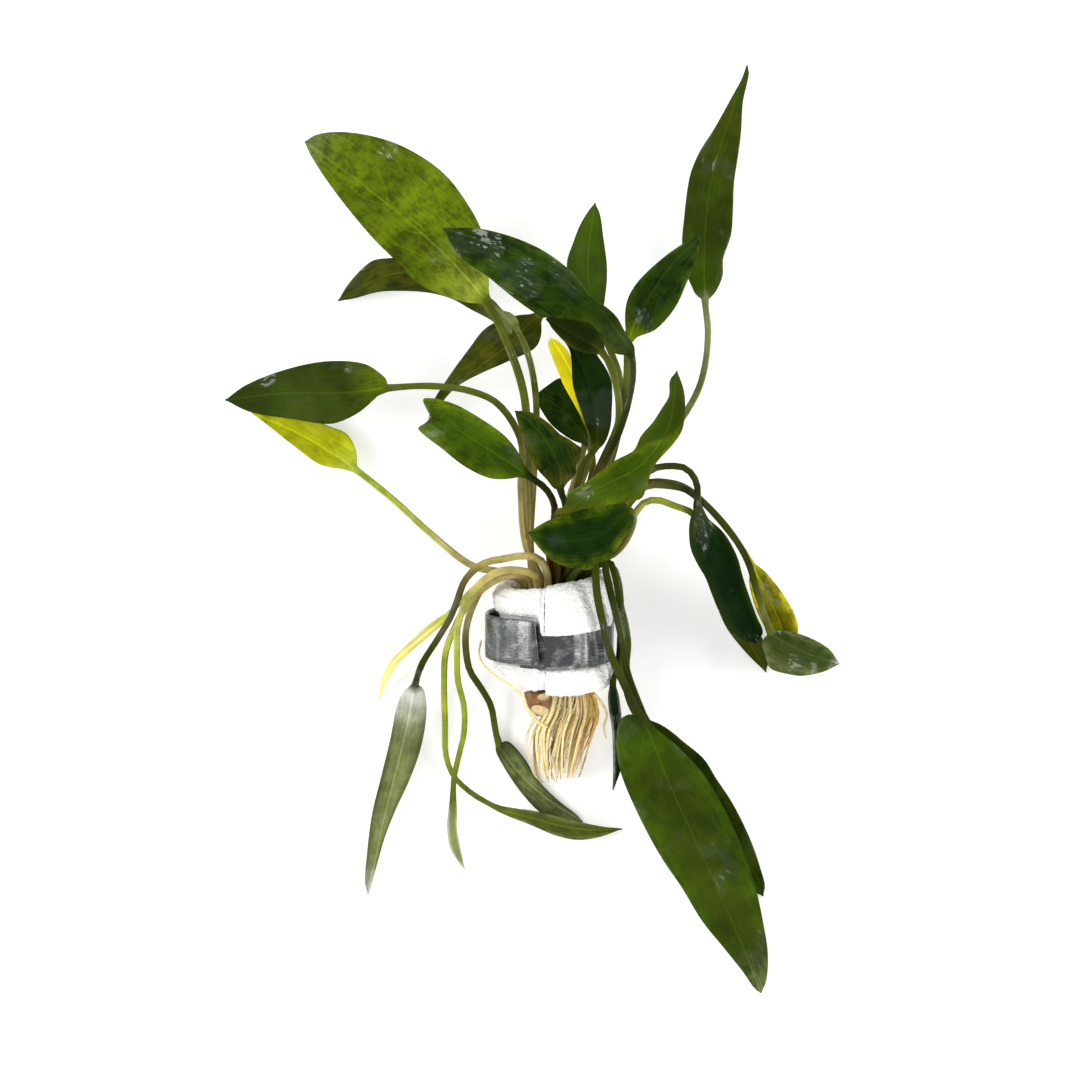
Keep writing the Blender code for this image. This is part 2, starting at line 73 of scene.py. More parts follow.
def to_linear(code):
    """An sRGB hex colour as linear red, green and blue."""
    channels = [int(code[index:index + 2], 16) / 255 for index in (1, 3, 5)]
    return [c / 12.92 if c <= 0.04045 else ((c + 0.055) / 1.055) ** 2.4 for c in channels]


def colour_property(name, code, description):
    return FloatVectorProperty(name=name, description=description, subtype="COLOR", size=3, min=0, max=1,
                               default=to_linear(code))


def length_property(name, millimetres, description):
    return FloatProperty(name=name, description=description, subtype="DISTANCE", unit="LENGTH", min=0,
                         default=millimetres * MM)


class LeafColours(bpy.types.PropertyGroup):
    """The greens, olives and yellows that the leaves are mixed from."""
    fresh: colour_property("Fresh green", "#5C6F08", "Upper side of a young leaf")
    bright: colour_property("Bright green", "#3A5206", "Upper side of a leaf in full growth")
    leaf: colour_property("Leaf green", "#343F08", "Upper side of a grown leaf")
    deep: colour_property("Deep green", "#263808", "Upper side of an old leaf")
    dark: colour_property("Dark green", "#142806", "Shaded old leaf")
    darkest: colour_property("Black green", "#071E05", "Darkest parts of the old leaves")
    moss: colour_property("Moss green", "#39441C", "Dull green with some grey")
    olive: colour_property("Olive", "#484A0C", "Reddish underside")
    olive_dark: colour_property("Dark olive", "#232E0A", "Reddish underside in the shade")
    pale: colour_property("Pale green", "#A2AE3C", "Leaf base and petiole top")
    lime: colour_property("Lime", "#B2B616", "Yellowing leaf")
    yellow: colour_property("Yellow", "#E2D41C", "Dying leaf")
    grey: colour_property("Grey green", "#77804F", "Underside")
    # Silver green is a painted sheen: the pale light mirrored by wet undersides and steeply tilted tips, put into the
    # colour.
    sheen_silver: colour_property("Silver green", "#C4C8BC", "Underside with a film of water")
    cream: colour_property("Cream", "#EFDF8B", "Bleached leaf")
    stalk: colour_property("Petiole olive", "#565E1C", "Petiole in the light")
    stalk_dark: colour_property("Petiole brown", "#343A10", "Petiole of an old leaf")
    stalk_pale: colour_property("Petiole tan", "#B0A062", "Foot of a petiole")
    stalk_brown: colour_property("Petiole red brown", "#5E3A1C", "Foot of an old petiole")
    mustard: colour_property("Mustard", "#74720A", "Leaf that is turning yellow")


class WrapColours(bpy.types.PropertyGroup):
    """The colours of the wrap, the strip, the rhizomes and the roots."""
    foam: colour_property("Foam", "#FBFAF6", "Foam sheet")
    metal: colour_property("Strip", "#5E6061", "Weight strip")
    bark: colour_property("Rhizome", "#8A5A1E", "Rhizome skin")
    bark_dark: colour_property("Dark rhizome", "#4A2A0E", "Rings and scars on the rhizome")
    root: colour_property("Root", "#F8E9AE", "Young root")
    root_gold: colour_property("Golden root", "#DDAE42", "Old root")
    # Brown is partly a root's own colour and partly painted shade on the lower roots of the clump.
    root_brown_and_shade: colour_property("Brown root", "#94701F", "Root at the back of the clump")
    cut: colour_property("Cut face", "#E0C68E", "Inside of a rhizome where it was cut")
    table: colour_property("Table", "#F4F4F4", "Table under the bunch")


class BunchSizes(bpy.types.PropertyGroup):
    """The sizes that shape the leaves, the wrap and the roots."""
    blade_thickness: length_property("Blade thickness", 0.42, "Thickness of a blade between its veins")
    ripple: length_property("Margin ripple", 0.55, "Height of the waves along a blade's margin")
    foam_length: length_property("Foam length", 26.6, "Length of the foam wrap along its axis")
    strip_width: length_property("Strip width", 11.0, "Width of the weight strip")
    strip_thickness: length_property("Strip thickness", 0.9, "Thickness of the weight strip")
    root_radius: length_property("Root radius", 0.3, "Radius of a main root")
    root_count: IntProperty(name="Roots", description="Number of roots in the clump", min=1, default=120)


Leaf = namedtuple("Leaf", "name slot petiole blade right left zones stalk roll fold stem mottle crease")


def leaf(name, slot, petiole, blade, right, left, zones, stalk=("stalk", "stalk"), roll=(0, 0), fold=8, stem=0.8,
         mottle=1.0, crease=None):
    """One leaf. Its routes are picture points, with the height in millimetres as a third number.

    The margins run from the blade's base to its tip, right and left as seen along that way. The zones are the
    colours of the blade, its mottling, its margin, its base and its tip. A crease crosses the blade between two
    shares of its length, at the left margin and at the right one. Beyond it the blade is painted darker as painted
    shade, with a painted highlight along the crease.
    """
    return Leaf(name, slot, petiole, blade, right, left, zones, stalk, roll, fold, stem, mottle, crease)


LEAVES = [
    leaf("leaf_top_left_large", (-3, 1),
         [(531, 560, 20.7), (530, 545, 21.5), (528, 470, 24.5), (524, 395, 27.5), (508, 345, 27)],
         [(487, 303, 25), (440, 250, 21), (372, 192, 12), (305, 142, 0.6)],
         [(489, 285), (483, 235), (465, 200), (440, 170), (395, 143), (345, 132), (315, 135)],
         [(470, 303), (450, 298), (420, 285), (395, 260), (370, 235), (330, 185), (309, 152)],
         ("fresh", "leaf", "fresh", "pale", "grey"), ("stalk", "stalk"), stem=1.0),
    leaf("leaf_top_left_rear", (-4, 0),
         [(530, 545, 19), (534, 470, 19), (536, 400, 19), (529, 358, 18)],
         [(516, 329, 16), (480, 296, 12), (432, 274, 8), (385, 276, 5), (338, 301, 1.5)],
         [(518, 321), (511, 313), (502, 312), (494, 303), (470, 285), (440, 263), (415, 257), (390, 258), (372, 261),
          (349, 283)],
         [(509, 335), (492, 321), (470, 309), (452, 299), (430, 293), (400, 291), (379, 292), (352, 299)],
         ("olive", "olive_dark", "moss", "grey", "moss")),
    leaf("leaf_upper_left_rear", (-1, -3),
         [(555, 540, 11), (578, 470, 8), (592, 400, 9), (585, 340, 11), (562, 312, 12)],
         [(541, 315, 12), (503, 349, 10), (460, 382, 7), (428, 421, 4)],
         [(519, 315), (487, 327), (468, 350), (445, 382), (432, 404)],
         [(541, 336), (535, 348), (509, 361), (482, 373), (461, 384), (440, 400)],
         ("olive", "olive_dark", "moss", "olive", "sheen_silver"), ("stalk_dark", "stalk")),
    leaf("leaf_upper_centre", (3, 1),
         [(577, 545, 27), (604, 463, 35), (620, 430, 38), (631, 390, 40), (633, 370, 41)],
         [(631, 354, 42), (608, 318, 44), (572, 285, 44), (520, 256, 40), (443, 228, 31)],
         [(633, 347), (625, 335), (619, 320), (610, 310), (590, 295), (574, 274), (544, 251), (510, 236), (475, 228)],
         [(623, 355), (612, 352), (602, 339), (595, 328), (584, 322), (565, 319), (543, 317), (532, 311), (510, 295),
          (487, 276), (459, 256)],
         ("deep", "darkest", "bright", "moss", "moss"), ("stalk_dark", "olive_dark")),
    leaf("leaf_top_centre_rear", (1, -1),
         [(566, 545, 17.5), (578, 520, 18.5), (598, 470, 20), (619, 420, 22.5), (620, 378, 23), (607, 343, 22)],
         [(594, 312, 18), (588, 262, 14), (595, 203, 10)],
         [(601, 312), (606, 290), (607, 267), (603, 234), (600, 214)],
         [(584, 308), (570, 288), (567, 262), (573, 243), (580, 225), (589, 210)],
         ("bright", "moss", "leaf", "deep", "moss")),
    leaf("leaf_upper_right", (3, -1),
         [(575, 545, 19.5), (584, 520, 22), (606, 475, 27), (619, 430, 30), (626, 385, 32), (627, 360, 32)],
         [(628, 342, 31), (644, 307, 28), (665, 274, 22), (700, 236, 16)],
         [(640, 336), (655, 330), (675, 308), (687, 282), (697, 258)],
         [(625, 321), (627, 301), (636, 284), (658, 262), (681, 245)],
         ("deep", "darkest", "bright", "fresh", "deep")),
    leaf("leaf_top_right", (2, -2),
         [(570, 571, 14.3), (582, 557, 15.6), (593, 543, 17.5), (622, 490, 21), (672, 432, 20), (700, 385, 15),
          (708, 335, 11)],
         [(705, 299, 8), (706, 220, 6), (714, 170, 5), (732, 111, 3), (747, 65, 0.6)],
         [(711, 297), (718, 288), (723, 274), (723, 260), (731, 235), (733, 210), (734, 183), (738, 156), (741, 133),
          (743, 102), (749, 72)],
         [(697, 296), (691, 285), (685, 269), (682, 242), (684, 219), (687, 192), (691, 172), (700, 151), (714, 129),
          (729, 102), (743, 76)],
         ("leaf", "deep", "leaf", "bright", "moss"), ("stalk", "grey")),
    leaf("leaf_left", (-2, 2),
         [(536, 568, 23.4), (526, 545, 25.2), (521, 490, 27.5), (521, 441, 29), (498, 404, 28), (470, 391, 26),
          (430, 386, 23)],
         [(388, 388, 19), (340, 393, 14), (285, 393, 8), (225, 400, 0.6)],
         [(386, 379), (381, 374), (365, 364), (329, 361), (287, 369), (246, 385)],
         [(379, 395), (361, 411), (342, 421), (329, 424), (292, 419), (250, 412)],
         ("leaf", "deep", "leaf", "fresh", "deep")),
    leaf("leaf_left_yellow", (-6, 0),
         [(505, 573, 17.5), (473, 566, 15.5), (430, 533, 10.5), (395, 501, 7)],
         [(355, 469, 4), (330, 452, 3.4), (295, 432, 2.2), (252, 413, 0.6)],
         [(357, 462), (355, 448), (347, 434), (329, 426), (298, 414), (270, 411)],
         [(342, 469), (319, 464), (299, 450), (276, 432)],
         ("lime", "fresh", "lime", "pale", "lime"), ("pale", "pale"), mottle=0.6),
    leaf("leaf_notched", (0, 2),
         [(550, 565, 24.5), (550, 545, 27), (554, 520, 29.8), (554, 504, 32.3), (546, 489, 34)],
         [(527, 475, 35), (490, 450, 36), (455, 428, 34), (432, 417, 32)],
         [(523, 463), (518, 452), (505, 436), (480, 418), (452, 403), (430, 398), (423, 399), (427, 410)],
         [(508, 479), (489, 478), (464, 466), (441, 448), (424, 435), (418, 428), (425, 423)],
         ("bright", "deep", "fresh", "bright", "leaf"), ("stalk_dark", "olive_dark")),
    leaf("leaf_small_lobed", (1, 1),
         [(563, 545, 23.5), (566, 520, 27), (565, 503, 33.5)],
         [(560, 488, 37), (560, 470, 38), (550, 447, 39), (532, 424, 39), (515, 411, 38)],
         [(567, 483), (576, 473), (576, 466), (581, 457), (581, 448), (576, 444), (569, 439), (560, 434), (550, 424),
          (537, 415), (527, 411)],
         [(555, 489), (547, 480), (538, 470), (532, 459), (525, 442), (520, 430), (516, 416)],
         ("deep", "darkest", "olive", "olive", "deep"), ("stalk_dark", "olive_dark")),
    leaf("leaf_centre", (2, 0),
         [(570, 545, 21.5), (574, 520, 25), (578, 480, 30), (584, 462, 32)],
         [(596, 447, 33), (592, 400, 34), (574, 350, 33), (547, 318, 31)],
         [(603, 445), (610, 429), (612, 408), (612, 384), (609, 374), (600, 359), (585, 340), (566, 326)],
         [(590, 436), (582, 414), (573, 386), (569, 349), (551, 327)],
         ("dark", "darkest", "dark", "leaf", "deep"), ("stalk", "stalk")),
    leaf("leaf_centre_olive", (4, 0),
         [(585, 540, 22.5), (598, 490, 29.5), (615, 440, 33), (619, 412, 35.5), (616, 385, 36.5), (610, 366, 37.5)],
         [(602, 352, 38), (580, 338, 37.5), (546, 319, 36)],
         [(605, 340), (595, 322), (575, 315), (556, 315)],
         [(592, 354), (574, 349), (556, 333)],
         ("olive_dark", "dark", "olive", "olive", "olive_dark")),
    leaf("leaf_centre_yellow", (-1, -1),
         [(555, 545, 18), (564, 520, 20.5), (586, 470, 23), (592, 445, 24)],
         [(590, 428, 24.5), (580, 392, 25), (566, 362, 25), (551, 338, 24)],
         [(592, 412), (585, 388), (575, 366), (567, 350), (558, 341)],
         [(583, 420), (573, 402), (564, 386), (560, 377), (554, 362), (548, 343)],
         ("yellow", "lime", "yellow", "stalk", "lime"), ("stalk", "stalk"), mottle=0.5),
    leaf("leaf_centre_rear", (0, -2),
         [(558, 560, 14.5), (572, 520, 14.5), (592, 475, 15)],
         [(590, 446, 15.5), (575, 422, 16), (556, 405, 15), (534, 396, 13)],
         [(592, 428), (587, 402), (574, 382), (560, 378), (548, 385)],
         [(574, 441), (561, 433), (550, 423), (540, 408)],
         ("deep", "darkest", "deep", "moss", "dark")),
    leaf("leaf_front", (1, 3),
         [(557, 566, 26.3), (558, 545, 28.8), (556, 519, 32.8), (558, 512, 35.3)],
         [(565, 511, 37.3), (600, 487, 41.5), (640, 466, 43.5), (668, 428, 41.5), (677, 371, 37)],
         [(583, 509), (601, 506), (628, 502), (642, 498), (647, 485), (655, 465), (674, 443), (683, 428), (685, 396),
          (681, 380)],
         [(569, 493), (583, 484), (601, 471), (616, 460), (634, 450), (641, 436), (653, 422), (662, 408), (669, 396),
          (670, 380)],
         ("bright", "leaf", "fresh", "leaf", "moss"), ("stalk_dark", "olive"), roll=(0, 12),
         crease=(0.5, 0.74)),
    leaf("leaf_over_foam", (6, 0),
         [(584, 575, 18.6), (590, 565, 19), (602, 559, 20.3), (613, 555, 22.5), (625, 543, 27), (634, 522, 31.5)],
         [(631, 511, 35), (600, 535, 36.5), (565, 541, 35.5), (528, 533, 33.5)],
         [(624, 502), (593, 506), (562, 515), (543, 523)],
         [(634, 518), (630, 529), (618, 547), (612, 558), (599, 564), (589, 570), (571, 568), (554, 562), (540, 549)],
         ("dark", "darkest", "fresh", "deep", "bright"), fold=3),
    leaf("leaf_right_hanging", (5, -1),
         [(584, 572, 16.3), (596, 556, 17), (612, 530, 22), (632, 490, 28), (653, 469, 29.5), (671, 466, 29.3),
          (685, 468, 28.5), (694, 477, 27.5), (698, 491, 26)],
         [(697, 503, 24.5), (712, 545, 20), (728, 585, 15.5), (742, 615, 11.5), (757, 643, 8)],
         [(690, 520), (689, 535), (691, 550), (699, 567), (705, 577), (716, 605), (728, 628), (743, 642)],
         [(707, 517), (724, 533), (737, 556), (743, 577), (750, 598), (757, 617), (763, 632)],
         ("darkest", "dark", "deep", "leaf", "dark"), ("stalk_dark", "stalk_dark"), roll=(30, 20)),
    leaf("leaf_right_green", (3, -3),
         [(570, 573, 12.4), (587, 562, 11.6), (603, 557, 11.8), (613, 546, 16), (624, 532, 20), (636, 512, 24.5),
          (645, 502, 26), (657, 500, 26), (675, 506, 24), (692, 513, 21), (705, 535, 15)],
         [(714, 560, 11.5), (727, 595, 8), (743, 632, 4.6), (766, 672, 0.6)],
         [(710, 575), (716, 603), (726, 627), (741, 647), (755, 662)],
         [(728, 570), (742, 600), (758, 630), (769, 655)],
         ("olive", "leaf", "leaf", "leaf", "bright"), ("pale", "stalk")),
    leaf("leaf_right_yellow", (1, -3),
         [(560, 572, 12.3), (572, 556, 13.3), (604, 530, 15.5), (628, 500, 20), (647, 483, 22.5), (671, 483, 22.5),
          (688, 489, 20), (703, 502, 17), (728, 530, 15.5), (744, 552, 13.5)],
         [(752, 566, 12), (768, 595, 8.5), (780, 622, 5), (789, 648, 2.5)],
         [(749, 580), (754, 603), (765, 628), (778, 645)],
         [(762, 569), (770, 577), (783, 594), (794, 613), (798, 632)],
         ("mustard", "olive", "yellow", "lime", "lime"), ("stalk", "lime")),
    leaf("leaf_right_grey", (4, -2),
         [(580, 574, 13.6), (592, 558, 13.8), (610, 532, 17.5), (628, 505, 23), (647, 486, 26.5), (671, 486, 26),
          (685, 489, 24), (694, 495, 21.5), (703, 502, 20), (716, 515, 20.3), (728, 529, 21), (741, 548, 20.5),
          (750, 567, 18.5), (757, 592, 16.5), (766, 620, 12.5)],
         [(770, 632, 11), (800, 650, 6.5), (840, 664, 0.6)],
         [(762, 642), (765, 655), (770, 668), (787, 674), (802, 676), (823, 672)],
         [(781, 630), (808, 637), (829, 649)],
         ("moss", "deep", "grey", "moss", "sheen_silver"), ("stalk_dark", "stalk")),
    leaf("leaf_lower_right_large", (2, 2),
         [(570, 568, 26), (577, 552, 30), (587, 547, 33), (594, 560, 33.5), (597, 594, 32), (603, 623, 30.5),
          (611, 655, 28), (624, 684, 24), (636, 709, 20)],
         [(643, 720, 18.5), (672, 790, 14), (708, 868, 8.5), (740, 940, 3.5), (761, 993, 0.6)],
         [(631, 714), (620, 720), (616, 741), (620, 770), (637, 812), (661, 857), (682, 888), (702, 921), (723, 947),
          (743, 972), (755, 989)],
         [(651, 725), (676, 745), (702, 772), (723, 806), (739, 839), (753, 878), (763, 921), (768, 955), (766, 982)],
         # The grey tip is a painted sheen of light on the wet tip.
         ("leaf", "deep", "bright", "bright", "grey"), ("leaf", "stalk_dark"), stem=0.95),
    leaf("leaf_lower_right_rear", (3, 3),
         [(574, 574, 26.8), (585, 563, 28.5), (597, 557, 29.8), (604, 562, 30), (606, 572, 29.8), (611, 594, 29),
          (620, 631, 26), (627, 670, 22), (640, 706, 16)],
         [(647, 722, 14), (670, 760, 11), (702, 803, 7.5), (737, 852, 3.5), (763, 896, 0.6)],
         [(645, 742), (660, 780), (690, 825), (725, 867), (750, 890)],
         [(655, 722), (668, 729), (684, 742), (704, 759), (716, 778), (733, 804), (751, 841), (761, 870), (765, 886)],
         ("leaf", "dark", "leaf", "leaf", "deep"), ("leaf", "stalk_dark")),
    leaf("leaf_right_edge_on", (4, 2),
         [(584, 574, 24.5), (598, 563, 26.3), (609, 561, 27.3), (614, 572, 27), (618, 592, 25)],
         [(620, 604, 23.5), (627, 640, 19), (626, 672, 12.5), (634, 705, 8), (645, 733, 5.5)],
         [(618, 618), (620, 640), (620, 672), (628, 706)],
         [(626, 618), (631, 641), (630, 670), (639, 703)],
         ("leaf", "deep", "bright", "leaf", "leaf"), ("leaf", "leaf"), roll=(58, 40)),
    leaf("leaf_below_foam_right", (5, 1),
         [(586, 575, 21.5), (600, 564, 23), (611, 564, 23.5), (617, 576, 23), (621, 600, 20.5), (620, 630, 17),
          (619, 652, 17), (617, 668, 18.5)],
         [(613, 681, 21), (612, 697, 19), (617, 730, 9), (619, 765, 4.5), (613, 790, 2)],
         [(609, 690), (608, 702), (612, 730), (613, 762)],
         [(618, 692), (621, 710), (623, 735), (622, 765)],
         ("dark", "darkest", "sheen_silver", "dark", "moss"), ("leaf", "leaf"), roll=(45, 40), stem=0.65),
    leaf("leaf_lower_left_grey", (-1, 3),
         [(546, 570, 28), (538, 558, 30), (520, 556, 29.5), (503, 559, 28), (487, 562, 27), (474, 570, 25),
          (464, 582, 22.5), (457, 601, 19.5), (450, 618, 16.5), (437, 640, 13), (422, 664, 9)],
         [(415, 685, 6.5), (405, 735, 5), (385, 815, 3), (368, 895, 0.6)],
         [(405, 690), (398, 702), (390, 740), (381, 777), (372, 814), (367, 853), (365, 883)],
         [(422, 687), (426, 700), (426, 720), (420, 751), (409, 781), (396, 809), (385, 837), (375, 872)],
         ("grey", "moss", "moss", "sheen_silver", "sheen_silver"), ("olive", "stalk_dark"), mottle=0.6),
    leaf("leaf_lower_left_cream", (-5, -1),
         [(518, 572, 15), (500, 574, 13), (480, 584, 12), (462, 600, 10.5)],
         [(447, 616, 9), (420, 638, 6.5), (392, 665, 4), (379, 701, 0.6)],
         [(430, 624), (411, 641), (391, 660), (381, 680)],
         [(434, 630), (414, 649), (397, 666), (386, 684)],
         ("cream", "pale", "cream", "pale", "cream"), ("stalk_pale", "pale"), stem=0.7, mottle=0.4),
    leaf("leaf_lower_left_edge_on", (-3, 3),
         [(533, 574, 28), (516, 570, 29), (500, 571, 28.8), (484, 580, 27), (468, 598, 23.5), (458, 625, 19.5),
          (457, 647, 15.5), (458, 681, 11), (464, 707, 8), (464, 733, 7), (459, 755, 6.7), (454, 778, 6)],
         [(453, 798, 5), (452, 827, 4.2), (457, 855, 3.4), (465, 870, 2.4)],
         [(449, 810), (447, 828), (451, 850)],
         [(457, 810), (457, 828), (461, 850)],
         ("grey", "pale", "sheen_silver", "stalk", "sheen_silver"), ("pale", "stalk"), roll=(45, 40), stem=0.7, mottle=0.5),
    leaf("leaf_lower_left_olive", (-4, 2),
         [(527, 576, 25), (510, 575, 25.5), (488, 585, 23), (467, 605, 18.5), (456, 625, 15), (446, 651, 11),
          (444, 681, 7.5), (445, 723, 4), (446, 755, 2.6), (453, 775, 2.2), (470, 792, 2.2), (486, 802, 2.8)],
         [(500, 809, 3.2), (535, 819, 4.2), (578, 829, 3.6), (622, 829, 0.8)],
         [(515, 818), (535, 827), (557, 836), (578, 840), (600, 837)],
         [(520, 809), (540, 812), (572, 820), (600, 826)],
         ("stalk", "moss", "grey", "stalk", "moss"), ("pale", "stalk"), stem=0.7),
    leaf("leaf_lower_left_folded", (-5, 1),
         [(520, 578, 22.5), (508, 576, 22.5), (488, 582, 20.5), (474, 603, 16), (466, 630, 11), (466, 651, 8.5),
          (470, 671, 6.5), (481, 688, 5), (491, 706, 3.6), (495, 728, 2.3)],
         [(499, 744, 1.8), (515, 769, 1.5), (545, 797, 1.2), (583, 822, 0.6)],
         [(497, 752), (505, 769), (524, 796), (541, 813), (562, 822)],
         [(507, 741), (522, 755), (539, 781), (559, 801), (577, 815)],
         ("grey", "moss", "dark", "moss", "grey"), ("stalk_dark", "stalk")),
]


def to_frame(across_px, down_px, height_mm):
    """Where a picture point lies, in millimetres, if it is that high above the table."""
    scale = (EYE_HEIGHT_MM - height_mm) / EYE_HEIGHT_MM / PIXELS_PER_MM
    return Vector(((across_px - PICTURE_CENTRE[0]) * scale - BUNCH_CENTRE_MM[0],
                   (PICTURE_CENTRE[1] - down_px) * scale - BUNCH_CENTRE_MM[1], height_mm))


COLLAR_CENTRE = to_frame(*COLLAR_PIXEL, COLLAR_HEIGHT_MM)
COLLAR_ACROSS = Vector((1, 0, 0))
COLLAR_ALONG = Vector((0, math.cos(COLLAR_TILT), math.sin(COLLAR_TILT)))
COLLAR_OUT = Vector((0, -math.sin(COLLAR_TILT), math.cos(COLLAR_TILT)))


def in_collar(across, along, out):
    return COLLAR_CENTRE + COLLAR_ACROSS * across + COLLAR_ALONG * along + COLLAR_OUT * out


def around_collar(angle_deg, radius, along):
    """A point about the collar's axis. Zero degrees faces up and 90 degrees faces right."""
    angle = math.radians(angle_deg)
    return in_collar(radius * math.sin(angle), along, radius * math.cos(angle))


def smooth_step(value, start=0.0, end=1.0):
    value = min(max((value - start) / (end - start), 0.0), 1.0)
    return value * value * (3 - 2 * value)


def spline_point(a, b, c, d, share):
    """A Catmull-Rom curve from b to c, with centripetal spacing."""
    knots = [0.0]
    for first, second in ((a, b), (b, c), (c, d)):
        knots.append(knots[-1] + math.sqrt((second - first).length))
    t = knots[1] + share * (knots[2] - knots[1])

    def blend(p, q, start, end):
        return p.lerp(q, (t - start) / (end - start))

    ab = blend(a, b, knots[0], knots[1])
    bc = blend(b, c, knots[1], knots[2])
    cd = blend(c, d, knots[2], knots[3])
    return blend(blend(ab, bc, knots[0], knots[2]), blend(bc, cd, knots[1], knots[3]), knots[1], knots[2])


def spline(points, steps):
    """A fine polyline through the points."""
    padded = [points[0] * 2 - points[1], *points, points[-1] * 2 - points[-2]]
    line = [points[0]]
    for index in range(len(points) - 1):
        line += [spline_point(*padded[index:index + 4], (step + 1) / steps) for step in range(steps)]
    return line


def lengths_along(line):
    total = [0.0]
    for first, second in zip(line, line[1:]):
        total.append(total[-1] + (second - first).length)
    return total


def spread(line, shares):
    """Points of a polyline at rising shares of its length."""
    totals = lengths_along(line)
    found, index = [], 1
    for share in shares:
        wanted = share * totals[-1]
        while index < len(line) - 1 and totals[index] < wanted:
            index += 1
        step = (wanted - totals[index - 1]) / max(totals[index] - totals[index - 1], 1e-9)
        found.append(line[index - 1].lerp(line[index], min(max(step, 0.0), 1.0)))
    return found


def tangents(points):
    ends = [points[0], *points, points[-1]]
    return [(after - before).normalized() for before, after in zip(ends, ends[2:])]


def upright(direction, tangent):
    return (direction - tangent * direction.dot(tangent)).normalized()


def new_piece(name, shape, material, node_name=None):
    """Makes an object from a bmesh in millimetres, and ties it to the frame in place of a node of the part."""
    bmesh.ops.scale(shape, vec=(MM, MM, MM), verts=shape.verts)
    for face in shape.faces:
        face.smooth = True
    mesh = bpy.data.meshes.new(name)
    shape.to_mesh(mesh)
    shape.free()
    mesh.materials.append(material)
    piece = bpy.data.objects.new(name, mesh)
    bpy.context.scene.collection.objects.link(piece)
    if node_name:
        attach(piece, BODY)
        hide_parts(node_name)
    return piece


def grid_of(shape, rows, paint=None):
    """A grid of faces bent to rows of points of equal count, then joined where its edges meet.

    The paint function is called with each vertex and its row and column before that.
    """
    across, down = len(rows[0]), len(rows)
    made = bmesh.ops.create_grid(shape, x_segments=across - 1, y_segments=down - 1, size=0.5)["verts"]
    for index, vert in enumerate(made):
        vert.co = rows[index // across][index % across]
        if paint:
            paint(vert, index // across, index % across)
    return made


def tube(shape, line, radii, sides, paint=None):
    """A round tube along a line, closed at both ends, with a radius for each of the line's points."""
    turns = [2 * math.pi * side / sides for side in range(sides + 1)]
    ways = tangents(line)
    normal = upright(Vector((0.13, 0.21, 1)), ways[0])
    rows = [[line[0]] * (sides + 1)]
    for point, way, radius in zip(line, ways, radii):
        normal = upright(normal, way)
        side_way = way.cross(normal)
        rows.append([point + (side_way * math.cos(turn) + normal * math.sin(turn)) * radius for turn in turns])
    rows.append([line[-1]] * (sides + 1))
    made = grid_of(shape, rows, paint)
    bmesh.ops.remove_doubles(shape, verts=made, dist=MERGE_MM)


def node(tree, kind, inputs=None, **settings):
    """Adds a shader node. Its inputs map a socket to a value or to another node's output."""
    made = tree.nodes.new(kind)
    for name, value in settings.items():
        setattr(made, name, value)
    for socket, value in (inputs or {}).items():
        if isinstance(value, bpy.types.NodeSocket):
            tree.links.new(value, made.inputs[socket])
        else:
            made.inputs[socket].default_value = value
    return made


def new_material(name):
    """(material, its node tree, its shader)"""
    material = bpy.data.materials.new(name)
    material.use_nodes = True
    return material, material.node_tree, material.node_tree.nodes["Principled BSDF"]


# Columns of a leaf's section, as shares of the half width from the midrib to the margin.
COLUMN_SHARES = (0.0, 0.05, 0.12, 0.22, 0.34, 0.47, 0.6, 0.73, 0.85, 0.94, 1.0)
SHARES_ACROSS = [-share for share in COLUMN_SHARES[:0:-1]] + list(COLUMN_SHARES)
BLADE_ROWS = 64
PETIOLE_ROW_MM = 2.2


def margin_height(spec, side, share, reach):
    """How far a margin stands over the midrib, for a margin that many millimetres away."""
    roll = spec.roll[0] + (spec.roll[1] - spec.roll[0]) * share
    return reach * math.tan(math.radians(spec.fold + side * roll))


def blade_rows(spec, base, seed):
    """The blade's middle surface, as rows from its base to its tip, with the half width of each row."""
    sizes = bpy.context.scene.crypto_sizes
    shares = [row / BLADE_ROWS for row in range(BLADE_ROWS + 1)]
    midrib = spread(base, shares)
    margins = {}
    for side, points in ((1, spec.right), (-1, spec.left)):
        ends = [Vector((*spec.blade[0][:2], 0)), *(Vector((*point, 0)) for point in points),
                Vector((*spec.blade[-1][:2], 0))]
        margins[side] = spread(spline(ends, 8), shares)
    rows, widths = [], []
    for index, (share, middle, along) in enumerate(zip(shares, midrib, tangents(midrib))):
        right_way = along.cross(upright(Vector((0, 0, 1)), along))
        stem = spec.stem * (1 - share) ** 0.8 + 0.15
        reach = {}
        for side in (1, -1):
            pixel = margins[side][index]
            flat = to_frame(pixel.x, pixel.y, middle.z) - middle
            flat.z = 0.0
            height = margin_height(spec, side, share, flat.length)
            wave = sizes.ripple / MM * smooth_step(flat.length, 1.0, 6.0) * noise.noise(
                Vector((share * 9.0, seed + side * 5.0, 0.0))) * 2
            edge = to_frame(pixel.x, pixel.y, middle.z + height + wave) - middle
            lack = max(0.0, 1 - edge.length / (2 * stem))
            reach[side] = edge + right_way * side * stem * lack
        row = []
        for across in SHARES_ACROSS:
            side = 1 if across >= 0 else -1
            offset = reach[side] * abs(across)
            offset.z = reach[side].z * abs(across) ** 1.5
            if spec.crease:
                offset.z -= CREASE_DEPTH_MM * smooth_step(from_crease(spec, share, across), -0.02, 0.02)
            row.append(middle + offset)
        rows.append(row)
        widths.append((reach[-1].length, reach[1].length, stem))
    return rows, widths




